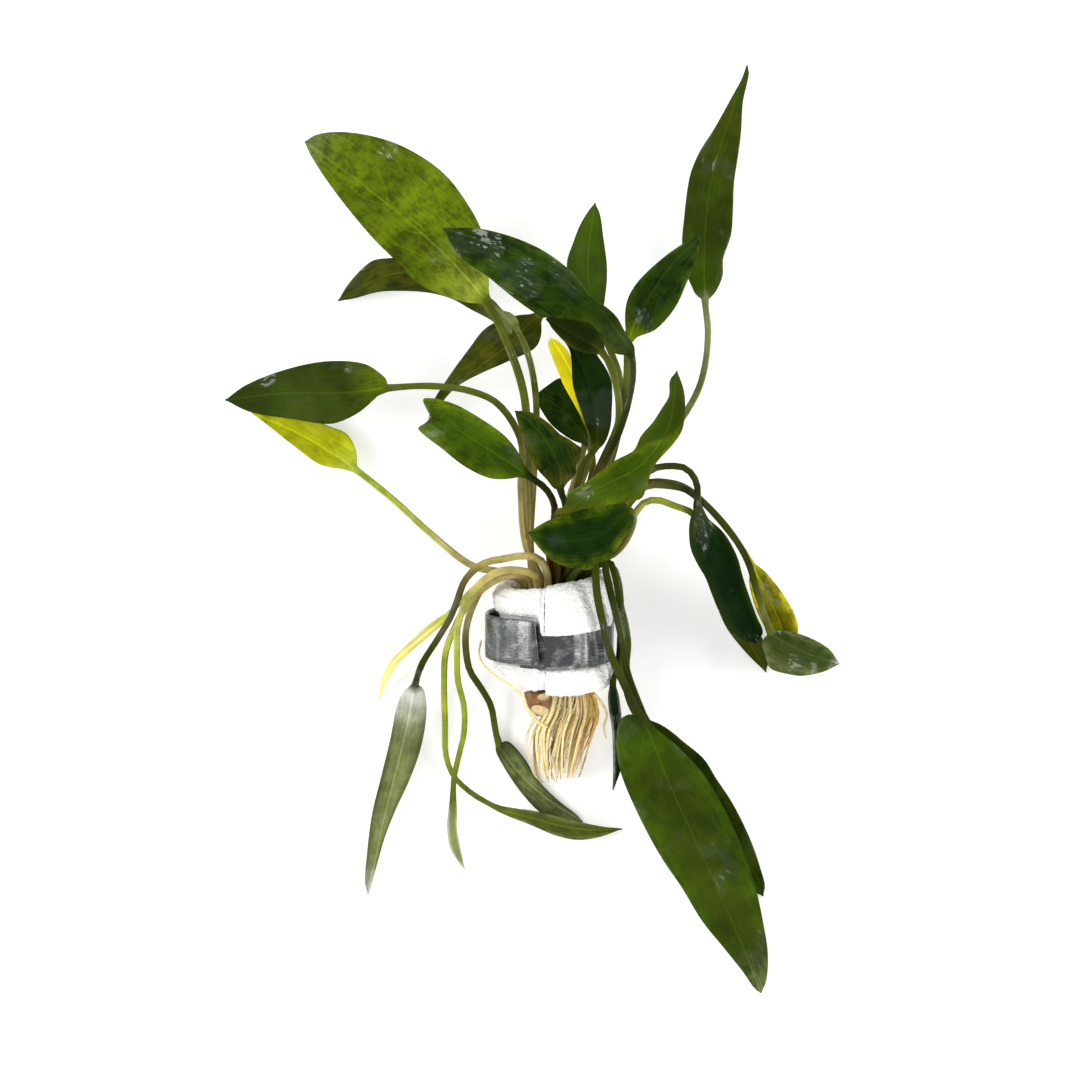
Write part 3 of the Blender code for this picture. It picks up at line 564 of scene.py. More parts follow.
def leaf_sections(spec, seed):
    """Closed sections from the petiole's foot to the tip.

    Each place is its point, its shares along and across, its side, and how far across and along in millimetres.
    """
    sizes = bpy.context.scene.crypto_sizes
    feet = [in_collar(spec.slot[0] * SLOT_ACROSS_MM, along, spec.slot[1] * SLOT_DEEP_MM)
            for along in PETIOLE_STATIONS_MM]
    route = feet + [to_frame(*point) for point in spec.petiole + spec.blade]
    steps = 16
    line = spline(route, steps)
    joint = (len(feet) + len(spec.petiole)) * steps
    stalk, blade_line = line[:joint + 1], line[joint:]
    blade_length = lengths_along(blade_line)[-1]
    stalk_length = lengths_along(stalk)[-1]
    count = math.ceil(stalk_length / PETIOLE_ROW_MM)
    stalk_points = spread(stalk, [step / count for step in range(count)])
    rows, widths = blade_rows(spec, blade_line, seed)
    first_normal = (rows[0][-1] - rows[0][0]).cross(rows[1][10] - rows[0][10]).normalized()
    points = stalk_points + [rows[0][10]]
    ways = tangents(points)
    normals = [None] * len(stalk_points) + [first_normal]
    for index in range(len(stalk_points) - 1, -1, -1):
        normals[index] = upright(normals[index + 1], ways[index])
    sections = []
    for index, (point, way, normal) in enumerate(zip(stalk_points, ways, normals)):
        share = index / count
        radius = FOOT_RADIUS_MM + (spec.stem - FOOT_RADIUS_MM) * smooth_step(share)
        radius *= 1 + 0.06 * noise.noise(Vector((share * 20, seed, 2.0)))
        across_way = way.cross(normal)
        section = []
        for across, top in section_columns():
            groove = 0.25 * radius * math.exp(-(across / 0.4) ** 2) * (top > 0) * (abs(across) < 1)
            height = math.sqrt(max(0.0, 1 - across * across)) * radius * top - groove
            section.append((point + across_way * across * radius + normal * height,
                            -(1 - share) * stalk_length / blade_length, across, top,
                            across * radius, -(1 - share) * stalk_length))
        sections.append(section)
    for index, (row, (left_reach, right_reach, stem)) in enumerate(zip(rows, widths)):
        share = index / BLADE_ROWS
        before, after = rows[max(index - 1, 0)], rows[min(index + 1, BLADE_ROWS)]
        section = []
        for across, top in section_columns():
            column = SHARES_ACROSS.index(across)
            ahead = after[column] - before[column]
            aside = row[min(column + 1, 20)] - row[max(column - 1, 0)]
            normal = aside.cross(ahead).normalized()
            distance = abs(across) * (right_reach if across > 0 else left_reach)
            rib = math.sqrt(max(0.0, stem * stem - distance * distance))
            rib *= (1 - smooth_step(share, 0, 0.1)) if top > 0 else 1 - 0.35 * share
            blade = sizes.blade_thickness / MM / 2 * math.sqrt(max(0.0, 1 - across ** 8))
            blade *= smooth_step(share, -0.02, 0.1)
            height = (rib ** 3 + blade ** 3) ** (1 / 3)
            if top > 0:
                height -= 0.3 * stem * math.exp(-(distance / (0.5 * stem)) ** 2) * smooth_step(share, 0, 0.15)
            # Both sides meet at the margin, so that they are merged there.
            height *= abs(across) < 1
            section.append((row[column] + normal * height * top, share, across, top,
                            math.copysign(distance, across), share * blade_length))
        sections.append(section)
    return sections


def section_columns():
    """Around a section: over the top from the right margin to the left one, and back below."""
    return ([(across, 1) for across in SHARES_ACROSS[::-1]] + [(across, -1) for across in SHARES_ACROSS[1:]])


def mix(first, second, share):
    return [a + (b - a) * share for a, b in zip(first, second)]


CREASE_DEPTH_MM = 0.7


def from_crease(spec, share, across):
    """How far beyond its crease a place on a creased blade lies, as a share of the blade's length."""
    left, right = spec.crease
    return share - (left + (right - left) * (across * 0.5 + 0.5))


def leaf_tint(spec, colours, share, across, top, from_foot):
    """(colour, mottling colour) of a place on a leaf. Petioles are tan or red brown at the foot."""
    blade, mottle, margin, base, tip = (getattr(colours, name) for name in spec.zones)
    low, high = (getattr(colours, name) for name in spec.stalk)
    if share < 0:
        foot = colours.stalk_brown if 0 <= spec.slot[0] <= 2 else colours.stalk_pale
        foot = low if spec.stalk[0] == "leaf" else foot
        stalk = mix(foot, low, smooth_step(from_foot, 28, 62))
        stalk = mix(stalk, high, smooth_step(share, -1.0, 0.0))
        return stalk, mix(stalk, colours.olive_dark, 0.35)
    edge = smooth_step(abs(across), 0.45, 1.0)
    tint = mix(blade, margin, edge * 0.7)
    tint = mix(tint, base, 1 - smooth_step(share, 0.0, 0.28))
    tint = mix(tint, tip, smooth_step(share, 0.82, 1.0) * 0.7)
    tint = mix(high, tint, smooth_step(share, 0.0, 0.06))
    if spec.crease:
        # Beyond the crease the blade is painted darker, as painted shade where it lies under the fold, and just before
        # the crease a painted highlight runs along the fold's edge.
        beyond = from_crease(spec, share, across)
        tint = mix(tint, colours.olive_dark, 0.5 * smooth_step(beyond, -0.01, 0.035))
        rim = smooth_step(beyond, -0.08, -0.02) * (1 - smooth_step(beyond, -0.01, 0.03))
        tint = mix(tint, colours.fresh, 0.6 * rim)
    shade = mix(mottle, tint, 1 - spec.mottle * (0.85 - 0.4 * (1 - smooth_step(share, 0.0, 0.25))))
    if top < 0:
        tint, shade = mix(tint, colours.grey, 0.3), mix(shade, colours.grey, 0.3)
    return tint, shade


def add_leaf(spec, colours, material, seed):
    sections = leaf_sections(spec, seed)
    start = [(sum((place[0] for place in sections[0]), Vector()) / len(sections[0]), *place[1:])
             for place in sections[0]]
    end = [(sum((place[0] for place in sections[-1]), Vector()) / len(sections[-1]), 1.0, *place[2:])
           for place in sections[-1]]
    sections = [start, *sections, end]
    shape = bmesh.new()
    tint_layer = shape.verts.layers.float_color.new("Tint")
    shade_layer = shape.verts.layers.float_color.new("Shade")
    uv_layer, mm_layer = shape.loops.layers.uv.new("Leaf"), shape.loops.layers.uv.new("Millimetres")
    verts = grid_of(shape, [[place[0] for place in section] for section in sections])
    places = {}
    foot = sections[0][0][5]
    for vert, (_, share, across, top, *surface_mm) in zip(verts, (place for section in sections for place in section)):
        tint, shade = leaf_tint(spec, colours, share, across, top, surface_mm[1] - foot)
        vert[tint_layer], vert[shade_layer] = (*tint, 1), (*shade, 1)
        places[vert] = (across * 0.5 + 0.5, share), surface_mm
    for face in shape.faces:
        for loop in face.loops:
            loop[uv_layer].uv, loop[mm_layer].uv = places[loop.vert]
    bmesh.ops.remove_doubles(shape, verts=shape.verts, dist=MERGE_MM)
    bmesh.ops.recalc_face_normals(shape, faces=shape.faces)
    return new_piece(spec.name + "_skin", shape, material, spec.name)


def leaf_skin():
    """Living leaf fresh out of water: mottled green with a pale midrib and side veins, and wet in patches."""
    material, tree, shader = new_material("Wet leaf skin")
    tint = node(tree, "ShaderNodeAttribute", attribute_name="Tint").outputs["Color"]
    shade = node(tree, "ShaderNodeAttribute", attribute_name="Shade").outputs["Color"]
    place = node(tree, "ShaderNodeTexCoord").outputs["Object"]
    surface_mm = node(tree, "ShaderNodeUVMap", uv_map="Millimetres").outputs["UV"]
    surface = node(tree, "ShaderNodeSeparateXYZ", {0: node(tree, "ShaderNodeUVMap", uv_map="Leaf").outputs["UV"]})

    def sum_of(kind, *values):
        return node(tree, "ShaderNodeMath", dict(enumerate(values)), operation=kind).outputs["Value"]

    def ramp(value, low, high, start=0.0, end=1.0):
        return node(tree, "ShaderNodeMapRange", {"Value": value, "From Min": low, "From Max": high, "To Min": start,
                                                 "To Max": end}, interpolation_type="SMOOTHSTEP").outputs["Result"]

    def blend(share, first, second):
        return node(tree, "ShaderNodeMix", {0: share, 6: first, 7: second}, data_type="RGBA").outputs[2]

    # Cell patches are 2 to 6 mm across. Fine streaks follow the leaf, 0.5 mm wide.
    patches = node(tree, "ShaderNodeTexNoise", {"Vector": place, "Scale": 230.0, "Detail": 5.0,
                                                "Roughness": 0.68}).outputs["Fac"]
    drawn_out = node(tree, "ShaderNodeVectorMath", {0: surface_mm, 1: (1.3, 0.2, 1.0)}, operation="MULTIPLY")
    drawn_out = node(tree, "ShaderNodeMapping", {"Vector": drawn_out.outputs["Vector"],
                                                 "Rotation": (0.0, 0.0, 0.25)}).outputs["Vector"]
    streaks = node(tree, "ShaderNodeTexNoise", {"Vector": drawn_out, "Scale": 1.0, "Detail": 4.0,
                                               "Distortion": 0.7}).outputs["Fac"]
    mottling = sum_of("MULTIPLY_ADD", sum_of("SUBTRACT", streaks, 0.5), 0.5, patches)
    skin = blend(ramp(mottling, 0.36, 0.7), tint, shade)
    # A blade is up to a quarter lighter or darker over areas of 10 to 20 mm.
    areas = node(tree, "ShaderNodeTexNoise", {"Vector": place, "Scale": 70.0, "Detail": 2.0}).outputs["Fac"]
    skin = node(tree, "ShaderNodeVectorMath", {0: skin, "Scale": ramp(areas, 0.3, 0.7, 0.75, 1.3)},
                operation="SCALE").outputs["Vector"]
    # The midrib is 0.5 mm wide. Side veins leave it at about 20 degrees and bend along the margin.
    across = sum_of("ABSOLUTE", sum_of("MULTIPLY_ADD", surface.outputs["X"], 2.0, -1.0))
    along = surface.outputs["Y"]
    on_blade = ramp(along, 0.0, 0.06)
    from_rib = sum_of("ABSOLUTE", node(tree, "ShaderNodeSeparateXYZ", {0: surface_mm}).outputs["X"])
    rib = sum_of("MULTIPLY", ramp(from_rib, 0.34, 0.14), on_blade)
    bent = sum_of("MULTIPLY", sum_of("POWER", across, 1.25), 2.3)
    vein_phase = sum_of("SUBTRACT", sum_of("MULTIPLY", along, 5.5), bent)
    vein = sum_of("MULTIPLY", ramp(sum_of("PINGPONG", vein_phase, 0.5), 0.045, 0.0),
                  sum_of("MULTIPLY", on_blade, ramp(across, 0.97, 0.6)))
    pale = node(tree, "ShaderNodeVectorMath", {0: tint, "Scale": 1.7}, operation="SCALE").outputs["Vector"]
    paler = node(tree, "ShaderNodeVectorMath", {0: tint, "Scale": 2.6}, operation="SCALE").outputs["Vector"]
    skin = blend(sum_of("MULTIPLY", vein, 0.3), skin, pale)
    skin = blend(sum_of("MULTIPLY", rib, 0.22), skin, paler)
    tree.links.new(skin, shader.inputs["Base Color"])
    # Water lies in patches of 5 to 15 mm. Its film is wavy, so it glints in short strokes 1 to 2 mm long.
    wet = ramp(node(tree, "ShaderNodeTexNoise", {"Vector": place, "Scale": 80.0, "Detail": 2.0}).outputs["Fac"],
               0.55, 0.62)
    film_mm = node(tree, "ShaderNodeVectorMath", {0: surface_mm, 1: (0.6, 0.28, 1.0)}, operation="MULTIPLY")
    film_mm = node(tree, "ShaderNodeMapping", {"Vector": film_mm.outputs["Vector"],
                                               "Rotation": (0.0, 0.0, 0.4)}).outputs["Vector"]
    film = node(tree, "ShaderNodeTexNoise", {"Vector": film_mm, "Scale": 1.0, "Detail": 1.0}).outputs["Fac"]
    grain = node(tree, "ShaderNodeTexNoise", {"Vector": place, "Scale": 2200.0, "Detail": 2.0}).outputs["Fac"]
    relief = sum_of("MULTIPLY_ADD", streaks, 0.5, sum_of("MULTIPLY", grain, 0.2))
    skin_bump = node(tree, "ShaderNodeBump", {"Height": sum_of("MULTIPLY_ADD", vein, -0.5, relief), "Strength": 0.5,
                                              "Distance": 0.0002})
    tree.links.new(skin_bump.outputs["Normal"], shader.inputs["Normal"])
    water_bump = node(tree, "ShaderNodeBump", {"Height": film, "Strength": 1.0, "Distance": 0.00045})
    tree.links.new(water_bump.outputs["Normal"], shader.inputs["Coat Normal"])
    tree.links.new(wet, shader.inputs["Coat Weight"])
    # The skin itself has a soft sheen over broad areas.
    tree.links.new(ramp(areas, 0.4, 0.65, 0.55, 0.4), shader.inputs["Roughness"])
    shader.inputs["Specular IOR Level"].default_value = 0.025
    shader.inputs["Coat Roughness"].default_value = 0.08
    shader.inputs["Coat IOR"].default_value = 1.33
    return material


class CRYPTO_OT_leaves(bpy.types.Operator):
    """Make the thirty leaves, each one grown piece of petiole and blade"""
    bl_idname = "crypto.leaves"
    bl_label = "Leaves"

    def execute(self, context):
        material = leaf_skin()
        for index, spec in enumerate(LEAVES):
            add_leaf(spec, context.scene.crypto_leaf_colours, material, index * 7.3)
        return {"FINISHED"}


# The foam is a sheet rolled about the petioles. Right of the strip's outer end it bulges over the strip's top.
FOAM_BORE_MM = 10.2
FOAM_SEAM_DEG = -8.0
FOAM_SEAM_GAP_DEG = 0.5
FOAM_GRAIN_MM = 0.16
LOBE_REACH_MM = 2.6
STRIP_RADIUS_MM = 14.0
STRIP_GROWTH_MM = 1.4
STRIP_START_DEG = -34.0
STRIP_END_DEG = 346.0
STRIP_CENTRE_MM = -0.7
STRIP_SLANT_MM = 1.2
STRIP_BULGE_MM = 1.2
# Painted highlights: bright bands across the strip where it mirrors the lamps, given as how far along its length, and
# half their width.
HIGHLIGHT_BANDS_MM = [(89.8, 1.2), (83.0, 0.35), (15.8, 1.3), (18.6, 0.4)]


def strip_radius(share, angle_deg):
    """The strip's middle, which winds outwards and stands off the foam on the left."""
    bulge = STRIP_BULGE_MM * smooth_step(1 - abs(angle_deg - 285) / 55)
    return STRIP_RADIUS_MM + STRIP_GROWTH_MM * share + bulge


def strip_share(angle_deg):
    """How far along its length the strip is at an angle from the seam, on its first turn."""
    return min(max((angle_deg - STRIP_START_DEG) / (STRIP_END_DEG - STRIP_START_DEG), 0.0), 1.0)


def foam_profile(angle_deg):
    """(along, radius) points around the foam sheet's edge-to-edge section at one angle."""
    turned = (angle_deg + 180) % 360 - 180
    lobe = smooth_step(turned, -15, -10) * (1 - smooth_step(turned, 62, 130))
    reach = LOBE_REACH_MM * lobe * (1 - 0.35 * smooth_step(turned, 10, 70))
    middle = STRIP_CENTRE_MM + STRIP_SLANT_MM * (strip_share(angle_deg if angle_deg > 0 else angle_deg + 360) - 0.5)
    if lobe > 0:
        middle = STRIP_CENTRE_MM + STRIP_SLANT_MM * (strip_share(turned) - 0.5)
    half_strip = bpy.context.scene.crypto_sizes.strip_width / MM / 2
    low, high = middle - half_strip, middle + half_strip
    skirt = 0.5 * noise.noise(Vector((angle_deg * 0.05, 3.1, 0.0)))
    half = bpy.context.scene.crypto_sizes.foam_length / MM / 2
    left = smooth_step(turned, -110, -50) * (turned < FOAM_SEAM_DEG)
    top = half + 0.2 + 1.6 * math.sin(math.radians(angle_deg)) + skirt - 0.5 * left
    end = -half + 0.4 * noise.noise(Vector((angle_deg * 0.06, 9.4, 0.0))) + 0.9 * left
    end -= 0.3 * smooth_step(turned, FOAM_SEAM_DEG - 1, 10) * (1 - smooth_step(turned, 30, 60))
    points = [(end + 0.5, FOAM_BORE_MM + 0.3), (end, 11.6), (end + 0.5, 13.4), (end + 1.9, 14.5), (end + 3.6, 14.7),
              (low - 1.4, 14.5), (low - 0.45, 13.9), (low + 0.2, 13.1), (middle, 12.95), (high - 0.4, 13.1)]
    plain = [(high + 0.3, 13.6), (high + 0.5, 14.0), (high + 0.8, 14.2), (high + 1.3, 14.4), (high + 2.4, 14.5)]
    bulging = [(high + 0.35, 13.8), (high + 0.2, 14.9), (high - reach + 0.3, 14.95), (high - reach, 15.5),
               (high - reach + 1.3, 16.0)]
    points += [(a[0] + (b[0] - a[0]) * lobe, a[1] + (b[1] - a[1]) * lobe) for a, b in zip(plain, bulging)]
    points += [(high + 3.0, 14.6 + 0.8 * lobe), (10.0, 14.6 + 0.3 * lobe), (top - 1.7, 14.3), (top - 0.5, 13.4),
               (top, 12.0), (top - 0.7, FOAM_BORE_MM + 0.2), (6.0, FOAM_BORE_MM), (-6.0, FOAM_BORE_MM)]
    return points


def foam_sheet():
    """Open-pored white filter foam, cut from a block: a bright, matt, grainy surface of fine pores."""
    material, tree, shader = new_material("Open-pored filter foam")
    colours = bpy.context.scene.crypto_wrap_colours
    place = node(tree, "ShaderNodeTexCoord")
    # Pores are about 0.5 mm across, so they just show in the picture. Each is painted darker at its middle, as painted
    # shade inside the open pore.
    pores = node(tree, "ShaderNodeTexVoronoi", {"Vector": place.outputs["Object"], "Scale": 1900.0})
    dark = node(tree, "ShaderNodeMapRange", {"Value": pores.outputs["Distance"], "From Min": 0.05, "From Max": 0.42,
                                             "To Min": 0.6, "To Max": 1.0})
    skin = node(tree, "ShaderNodeMix", {0: dark.outputs["Result"], 6: (0.7, 0.69, 0.63, 1), 7: (*colours.foam, 1)},
                data_type="RGBA")
    tree.links.new(skin.outputs[2], shader.inputs["Base Color"])
    grain = node(tree, "ShaderNodeTexNoise", {"Vector": place.outputs["Object"], "Scale": 2600.0, "Detail": 3.0})
    height = node(tree, "ShaderNodeMath", {0: grain.outputs["Fac"], 1: pores.outputs["Distance"]}, operation="ADD")
    bump = node(tree, "ShaderNodeBump", {"Height": height.outputs["Value"], "Strength": 0.9, "Distance": 0.0003})
    tree.links.new(bump.outputs["Normal"], shader.inputs["Normal"])
    shader.inputs["Roughness"].default_value = 0.95
    shader.inputs["Subsurface Weight"].default_value = 0.15
    shader.inputs["Subsurface Radius"].default_value = (0.002, 0.002, 0.0018)
    return material


def strip_metal():
    """Soft grey weight alloy, rolled to a strip and bent by hand: dull dark grey with bright rubbed streaks and
    painted highlight bands.
    """
    material, tree, shader = new_material("Rolled weight alloy")
    colours = bpy.context.scene.crypto_wrap_colours
    place = node(tree, "ShaderNodeUVMap", uv_map="Strip")
    # Rubbed streaks run along the strip, 0.2 mm wide and some 3 mm long.
    drawn_out = node(tree, "ShaderNodeVectorMath", {0: place.outputs["UV"], 1: (0.4, 5.0, 1.0)},
                     operation="MULTIPLY")
    streaks = node(tree, "ShaderNodeTexNoise", {"Vector": drawn_out.outputs["Vector"], "Scale": 1.0, "Detail": 5.0,
                                                "Roughness": 0.7})
    blotches = node(tree, "ShaderNodeTexNoise", {"Vector": place.outputs["UV"], "Scale": 0.3, "Detail": 3.0})
    rubbed = node(tree, "ShaderNodeMapRange", {"Value": blotches.outputs["Fac"], "From Min": 0.5, "From Max": 0.62})
    dull = node(tree, "ShaderNodeMapRange", {"Value": streaks.outputs["Fac"], "From Min": 0.42, "From Max": 0.62})
    share = node(tree, "ShaderNodeMath", {0: rubbed.outputs["Result"], 1: dull.outputs["Result"]},
                 operation="MULTIPLY")
    across_strip = node(tree, "ShaderNodeSeparateXYZ", {0: place.outputs["UV"]})
    # The rubbed streaks are wear; the bands laid over them are painted highlights.
    bright = share
    for middle, half in HIGHLIGHT_BANDS_MM:
        away = node(tree, "ShaderNodeMath", {0: across_strip.outputs["X"], 1: middle, 2: half}, operation="COMPARE")
        broken = node(tree, "ShaderNodeMapRange", {"Value": streaks.outputs["Fac"], "From Min": 0.4, "From Max": 0.6,
                                                   "To Max": 0.55})
        highlight_band = node(tree, "ShaderNodeMath", {0: away.outputs["Value"], 1: broken.outputs["Result"]},
                    operation="MULTIPLY")
        bright = node(tree, "ShaderNodeMath", {0: bright.outputs["Value"], 1: highlight_band.outputs["Value"]},
                      operation="MAXIMUM")
    # The lighter grey is both the rubbed wear and the painted highlight bands.
    skin = node(tree, "ShaderNodeMix", {0: bright.outputs["Value"], 6: (*colours.metal, 1), 7: (0.42, 0.42, 0.41, 1)},
                data_type="RGBA")
    tree.links.new(skin.outputs[2], shader.inputs["Base Color"])
    rough = node(tree, "ShaderNodeMapRange", {"Value": dull.outputs["Result"], "To Min": 0.2, "To Max": 0.36})
    tree.links.new(rough.outputs["Result"], shader.inputs["Roughness"])
    # Bending by hand left facets 3 to 6 mm long, which catch the light as upright bands.
    upright_bands = node(tree, "ShaderNodeVectorMath", {0: place.outputs["UV"], 1: (0.22, 0.02, 1.0)},
                         operation="MULTIPLY")
    facets = node(tree, "ShaderNodeTexNoise", {"Vector": upright_bands.outputs["Vector"], "Scale": 1.0, "Detail": 1.0})
    bent = node(tree, "ShaderNodeBump", {"Height": facets.outputs["Fac"], "Strength": 1.0, "Distance": 0.0012})
    bump = node(tree, "ShaderNodeBump", {"Height": streaks.outputs["Fac"], "Strength": 0.5, "Distance": 0.00012,
                                         "Normal": bent.outputs["Normal"]})
    tree.links.new(bump.outputs["Normal"], shader.inputs["Normal"])
    shader.inputs["Metallic"].default_value = 1.0
    return material


def painted_skin(name, roughness, coat, grain_scale, bump_distance):
    """A natural skin that takes its colour from the piece and varies it a little."""
    material, tree, shader = new_material(name)
    tint = node(tree, "ShaderNodeAttribute", attribute_name="Tint")
    place = node(tree, "ShaderNodeTexCoord")
    grain = node(tree, "ShaderNodeTexNoise", {"Vector": place.outputs["Object"], "Scale": grain_scale, "Detail": 4.0})
    shade = node(tree, "ShaderNodeMapRange", {"Value": grain.outputs["Fac"], "From Min": 0.3, "From Max": 0.7,
                                              "To Min": 0.72, "To Max": 1.12})
    skin = node(tree, "ShaderNodeVectorMath", {0: tint.outputs["Color"], "Scale": shade.outputs["Result"]},
                operation="SCALE")
    tree.links.new(skin.outputs["Vector"], shader.inputs["Base Color"])
    bump = node(tree, "ShaderNodeBump", {"Height": grain.outputs["Fac"], "Strength": 0.5, "Distance": bump_distance})
    tree.links.new(bump.outputs["Normal"], shader.inputs["Normal"])
    shader.inputs["Roughness"].default_value = roughness
    shader.inputs["Coat Weight"].default_value = coat
    shader.inputs["Coat Roughness"].default_value = 0.1
    shader.inputs["Coat IOR"].default_value = 1.33
    return material


class CRYPTO_OT_foam(bpy.types.Operator):
    """Make the rolled foam wrap"""
    bl_idname = "crypto.foam"
    bl_label = "Foam wrap"

    def execute(self, context):
        steps, count = 240, 200
        start = FOAM_SEAM_DEG + FOAM_SEAM_GAP_DEG / 2
        sweep = 360 - FOAM_SEAM_GAP_DEG
        shares = [index / count for index in range(count)]
        rows = []
        for step in range(steps + 1):
            angle = start + sweep * step / steps
            section = [Vector((*point, 0)) for point in foam_profile(angle)]
            loop = spread(spline([*section, section[0]], 6), shares)
            seam = 0.5 * (smooth_step(step, 4, 0) + smooth_step(step, steps - 4, steps))
            row = []
            for point in loop:
                lower = 0.35 * smooth_step(step, steps - 12, steps) if point.x < -9 else 0.0
                gap = seam * smooth_step(point.y, 12.5, 14) * (1 - smooth_step(point.x, -10, -5))
                row.append(around_collar(angle, point.y - gap, point.x + lower))
            rows.append([*row, row[0]])
        shape = bmesh.new()
        made = grid_of(shape, rows)
        bmesh.ops.remove_doubles(shape, verts=made, dist=MERGE_MM)
        bmesh.ops.holes_fill(shape, edges=[edge for edge in shape.edges if edge.is_boundary], sides=0)
        bmesh.ops.recalc_face_normals(shape, faces=shape.faces)
        shape.normal_update()
        for vert in shape.verts:
            out = abs((vert.co - COLLAR_CENTRE).dot(COLLAR_ALONG))
            coarse = noise.noise(vert.co * 0.9)
            fine = noise.noise(vert.co * 2.1 + Vector((5, 1, 2)))
            amount = FOAM_GRAIN_MM * (1.8 if out > 7 else 1.0)
            vert.co += vert.normal * (coarse * amount + fine * amount * 1.2)
        piece = new_piece("foam_roll", shape, foam_sheet(), "foam_wrap")
        return {"FINISHED"}


class CRYPTO_OT_strip(bpy.types.Operator):
    """Make the weight strip that is wound around the foam"""
    bl_idname = "crypto.strip"
    bl_label = "Weight strip"

    def execute(self, context):
        steps = 260
        sizes = bpy.context.scene.crypto_sizes
        half_width, half_thick = sizes.strip_width / MM / 2, sizes.strip_thickness / MM / 2
        widths = (-1.0, -0.96, -0.8, -0.6, -0.4, -0.2, 0.0, 0.2, 0.4, 0.6, 0.8, 0.96, 1.0)
        section = [(share, 1) for share in widths] + [(share, -1) for share in widths[-2:0:-1]]
        rows, length = [], 0.0
        lengths = []
        for step in range(steps + 1):
            share = step / steps
            angle = STRIP_START_DEG + (STRIP_END_DEG - STRIP_START_DEG) * share
            radius = strip_radius(share, angle)
            length = math.radians(angle - STRIP_START_DEG) * STRIP_RADIUS_MM
            lengths.append(length)
            middle = STRIP_CENTRE_MM + STRIP_SLANT_MM * (share - 0.5)
            from_end = math.radians(STRIP_END_DEG - angle) * STRIP_RADIUS_MM
            round_off = 0.9 * (1 - min(from_end / 0.9, 1.0)) ** 2
            slant_end = 0.8 * (1 - smooth_step(from_end, 0, 2.0))
            lift = 0.35 * (1 - smooth_step(from_end, 0, 6.0))
            row = []
            for across, side in section:
                dent = 0.16 * noise.noise(Vector((length * 0.16, across * 1.3, 0.0)))
                wander = 0.12 * noise.noise(Vector((length * 0.3, 7.0 + math.copysign(3, across), 0.0)))
                edge = half_width + wander - round_off
                thick = half_thick * (math.sqrt(max(0.0, 1 - abs(across) ** 24)) if abs(across) < 1 else 0.35)
                row.append(around_collar(angle - slant_end * across * 2.0, radius + dent + lift + side * thick,
                                         middle + across * edge))
            rows.append([*row, row[0]])
        centre_rows = [[sum(row[:-1], Vector()) / (len(row) - 1)] * len(row) for row in (rows[0], rows[-1])]
        shape = bmesh.new()
        uv_layer = shape.loops.layers.uv.new("Strip")
        places = {}

        def paint(vert, row, column):
            across = section[column % len(section)][0]
            places[vert] = (lengths[min(max(row - 1, 0), steps)], across * half_width)

        made = grid_of(shape, [centre_rows[0], *rows, centre_rows[1]], paint)
        for face in shape.faces:
            for loop in face.loops:
                loop[uv_layer].uv = places[loop.vert]
        bmesh.ops.remove_doubles(shape, verts=made, dist=MERGE_MM)
        bmesh.ops.recalc_face_normals(shape, faces=shape.faces)
        new_piece("strip_wound", shape, strip_metal(), "weight_strip")
        return {"FINISHED"}


# Cut faces on the rhizome that pokes out: picture point, half length, half width and turn.
CUT_FACES = [((543, 697), 1.5, 0.9, 5), ((540, 710), 2.3, 1.15, -14)]
# Rhizomes are short and knobbly. Each ring is (along, across, out, radius) in the collar's own axes.
RHIZOMES = {
    "rhizome_left": [(-5.3, -4.6, 2.6, 3.4), (-9.0, -4.4, 3.2, 3.7), (-14.5, -3.6, 3.8, 3.2), (-18.0, -3.2, 4.0, 2.7),
                     (-19.6, -3.0, 4.0, 1.4)],
    "rhizome_right": [(-5.3, 4.2, -1.0, 4.2), (-9.0, 4.6, -1.2, 4.0), (-12.8, 5.0, -1.4, 3.2),
                      (-13.9, 5.0, -1.4, 1.6)],
}


def in_cut(point):
    """1 inside a cut face, falling to 0 over its rim."""
    inside = 0.0
    for pixel, long, wide, turn in CUT_FACES:
        offset = point - to_frame(*pixel, point.z)
        along = offset.x * math.cos(math.radians(turn)) + offset.y * math.sin(math.radians(turn))
        across = offset.y * math.cos(math.radians(turn)) - offset.x * math.sin(math.radians(turn))
        inside = max(inside, 1 - smooth_step(math.hypot(along / long, across / wide), 0.85, 1.1))
    return inside


class CRYPTO_OT_rhizomes(bpy.types.Operator):
    """Make the two short brown stems that the petioles and roots grow from"""
    bl_idname = "crypto.rhizomes"
    bl_label = "Rhizomes"

    def execute(self, context):
        colours = context.scene.crypto_wrap_colours
        # Rhizome skin: corky and damp, brown with darker rings where old leaves stood.
        material = painted_skin("Rhizome bark", 0.55, 0.3, 900.0, 0.0003)
        for name, stations in RHIZOMES.items():
            line = spline([in_collar(across, along, out) for along, across, out, _ in stations], 24)
            radii = [point.x for point in spline([Vector((radius, 0, 0)) for *_, radius in stations], 24)]
            shape = bmesh.new()
            tint_layer = shape.verts.layers.float_color.new("Tint")

            tube(shape, line, radii, 72)
            bmesh.ops.recalc_face_normals(shape, faces=shape.faces)
            shape.normal_update()
            for vert in shape.verts:
                cut = in_cut(vert.co) if vert.normal.z > 0 else 0.0
                coarse, fine = noise.noise(vert.co * 0.42), noise.noise(vert.co * 1.3)
                shade = mix(colours.bark, colours.bark_dark, smooth_step(coarse + 0.6 * fine, 0.15, -0.3))
                rim = smooth_step(cut, 0.0, 0.3) * (1 - smooth_step(cut, 0.5, 0.9))
                shade = mix(mix(shade, colours.cut, cut), colours.bark_dark, 0.6 * rim)
                vert[tint_layer] = (*shade, 1)
                vert.co += vert.normal * ((0.7 * coarse + 0.2 * fine) * (1 - cut) + 0.25 * rim)
            new_piece(name + "_stem", shape, material, name)
        return {"FINISHED"}


